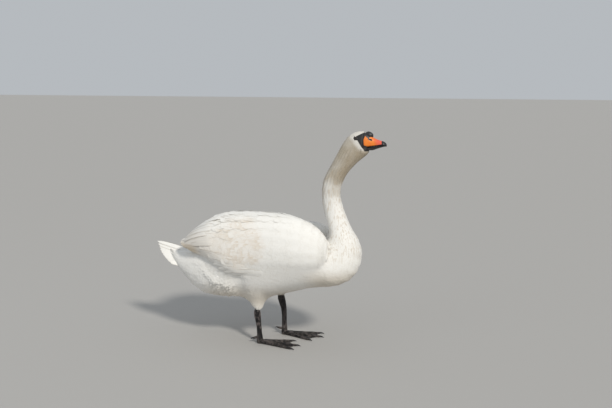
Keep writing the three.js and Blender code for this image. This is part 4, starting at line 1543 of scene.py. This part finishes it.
# Legs: the skin of shank, foot and hind toe in one mesh, with claws of their own.
legSizes = {
    "grain": 1.5,  # voxel size
    "grow": 0.35,
    "offset": 68,  # each heel from the middle
    "step": {"right": 0, "left": 58},  # x of each heel
    "ankleTop": {"right": 134, "left": 164},
    "ankleAxis": {"right": (-10, 9.0), "left": (-13, 10.0)},  # x from the heel and radius under the feathers
    "ankleRings": ((-8, 0.98), (6, 0.96), (20, 0.95), (34, 0.9)),  # height over the ankle, share of radius
    "toes": {"inner": (126, 24), "middle": (147, 1), "outer": (142, -17)},  # reach and splay
    "knuckles": (0.2, 0.5, 0.78),  # shares of the reach
    "onToe": {"beside": (8, 4), "along": (8, 22), "z": (2.5, 5)},  # ends of each mask
    "onWeb": {"beside": (6, 10), "z": (2, 3.2), "lower": 14},
    "onShank": {"z": (22, 40), "forward": (0.1, 0.7)},
    "rises": {"toe": 0.45, "knuckle": 0.8, "web": 0.35, "shank": 0.4},
    "scutes": {"toe": 4.4, "shank": 6.2},  # apart
    "claw": {"length": 21, "width": 3.3, "drop": 2.2, "root": 2.5, "height": 3.7},
    "hindClaw": {"length": 14, "width": 2.9, "drop": 1.5},
    "arch": 1.5,  # of every claw
    "hind": {"reach": 18, "start": 9, "height": 24, "pitch": {"right": -0.3, "left": 0.1}},
}


def heelOf(side, sign):
    return np.array((legSizes["step"][side], sign * legSizes["offset"], 0.0))


def toeAhead(sign, splay):
    angle = math.radians(-sign * splay)
    return np.array((math.cos(angle), math.sin(angle), 0.0))


def scuteRise(place, apart):
    # Rounded plates with narrow grooves between them.
    return np.abs(np.sin(place * math.pi / apart)) ** 0.5 - 0.6


def legSkin(side, sign):
    heel, top, (axis, radius) = heelOf(side, sign), legSizes["ankleTop"][side], legSizes["ankleAxis"][side]
    stub = [ovalRing(heel + (axis, 0, top + up), (radius * r, 0, 0), (0, radius * r, 0), 20)
            for up, r in legSizes["ankleRings"]]
    pieces = [mergedNode(f"{part}_{side}", legSizes["grow"]) for part in ("shank", "foot", "hind_toe")]
    points, faces, _ = joinedArrays(pieces + [ringLoft(stub)])
    leg = voxelled(f"legSkin_{side}", points, faces, legSizes["grain"])
    mesh = leg.data
    edges = edgesOf(mesh)
    points = ironed(arraysOf(mesh), edges, 14)
    setPoints(mesh, points)
    normals = unit(relaxed(normalsOf(mesh), edges, 2))
    # Scutes across the toes, folds in the webs, and plates down the front of the shank.
    z = points[:, 2]
    away = points - heel
    rises, web = legSizes["rises"], legSizes["onWeb"]
    move, nearest = np.zeros(len(points)), np.full(len(points), 99.0)
    for reach, splay in legSizes["toes"].values():
        ahead = toeAhead(sign, splay)
        along = away @ ahead
        beside = np.linalg.norm((away - along[:, None] * ahead)[:, :2], axis=1)
        knuckle = sum(bell(along, reach * share, 7) for share in legSizes["knuckles"])
        onToe = within({"beside": beside, "along": along, "z": z}, legSizes["onToe"])
        plates = rises["toe"] * scuteRise(along, legSizes["scutes"]["toe"])
        move += onToe * (plates + rises["knuckle"] * knuckle)
        nearest = np.minimum(nearest, beside)
    onWeb = smoothstep(nearest, *web["beside"]) * (z < web["lower"]) * smoothstep(z, *web["z"])
    bend = np.arctan2(away[:, 1], away[:, 0])
    folds = np.sin(np.hypot(away[:, 0], away[:, 1]) * 1.1 + 3 * np.sin(bend * 9))
    move += onWeb * rises["web"] * folds
    front = within({"z": z, "forward": normals[:, 0]}, legSizes["onShank"])
    move += front * rises["shank"] * scuteRise(z, legSizes["scutes"]["shank"])
    points = points + normals * (move * smoothstep(z, 0.4, 1.6))[:, None]
    points[:, 2] = np.maximum(points[:, 2], 0.0)
    setPoints(mesh, points)
    mesh.shade_smooth()
    return leg


def addClaw(name, side, root, ahead, length, width, drop):
    beside = unit(np.cross((0, 0, 1.0), ahead))
    up = np.cross(ahead, beside)
    rings = []
    for t in np.linspace(0, 1, 12):
        half = width * (1 - t ** 1.6) ** 0.8 + 0.35 * t
        arch = legSizes["arch"] * math.sin(math.pi * min(t * 1.1, 1))
        centre = root + ahead * length * t + up * (arch - drop * t * t)
        rings.append(ovalRing(centre, beside * half * 0.8, up * half, 14, 2.2))
    claw = newObject(f"clawHorn_{name}_{side}", *ringLoft(rings))
    finishPiece(claw, clawFinish, "black_horn", f"claw_{name}_{side}")


def clawsOf(side, sign):
    claw, hind, heel = legSizes["claw"], legSizes["hind"], heelOf(side, sign)
    for name, (reach, splay) in legSizes["toes"].items():
        ahead = toeAhead(sign, splay)
        root = heel + ahead * (reach - claw["root"]) + (0, 0, claw["height"])
        addClaw(name, side, root, ahead, claw["length"], claw["width"], claw["drop"])
    pitch = hind["pitch"][side]
    ahead = np.array((-math.cos(pitch), 0, math.sin(pitch)))
    root = heel + (-hind["start"], 0, hind["height"]) + ahead * hind["reach"]
    addClaw("hind", side, root, ahead, **legSizes["hindClaw"])


legMarks = {  # ends in millimetres: the left shank's side, the feet, and up the shanks
    # The left shank's side is kept nearly black as a painted shadow of the body.
    "plates": 330.0, "grooves": (0.0, 0.09), "side": (20, -20), "feet": (52, 30), "up": (-30, 70),
    "leastWornAndShaded": 0.2, "dust": (60, 0),
}


def legMaterial():
    finish, marks = Finish("legSkin", 0.5, Specular_IOR_Level=0.3), legMarks
    point = finish.point
    _, y, z = finish.millimetres()
    plates = {"Vector": point, "Scale": marks["plates"]}
    plates = point.node("ShaderNodeTexVoronoi", {"feature": "DISTANCE_TO_EDGE"}, plates)
    scale = plates.step(*marks["grooves"])
    # Worn, paler blotches; the left shank keeps few of them and stays nearly black, a painted shadow of the
    # body over that leg.
    worn = y.step(*marks["side"]).most(z.step(*marks["feet"])) * z.step(*marks["up"])
    worn = worn * (1 - marks["leastWornAndShaded"]) + marks["leastWornAndShaded"]
    patches = point.vector("MULTIPLY", (1, 1, 0.6)).noise(75).step(0.44, 0.57) * worn
    dust = z.step(*marks["dust"]) * point.noise(90).step(0.45, 0.7)
    colour = mixed(dust * 0.35, mixed(patches, *hornColours["leg"]), hornColours["dust"])
    colour = mixed((1 - scale) * 0.5, colour, hornColours["seam"])
    return finish.feed(Base_Color=colour, Roughness=0.42 + patches * 0.25,
                       Normal=finish.bumped(0.6, 0.0006, scale + point.noise(700) * 0.4))


legFinish, clawFinish = legMaterial(), blackHornMaterial("clawHorn", 0.5)
for side, sign in sides.items():
    leg = legSkin(side, sign)
    finishPiece(leg, legFinish, "leg_skin", f"shank_{side}", f"foot_{side}", f"hind_toe_{side}")
    clawsOf(side, sign)
print("stage: legs and claws")


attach(skin, "root")
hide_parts(*spineNodes, *wingNodes, *thighNodes)
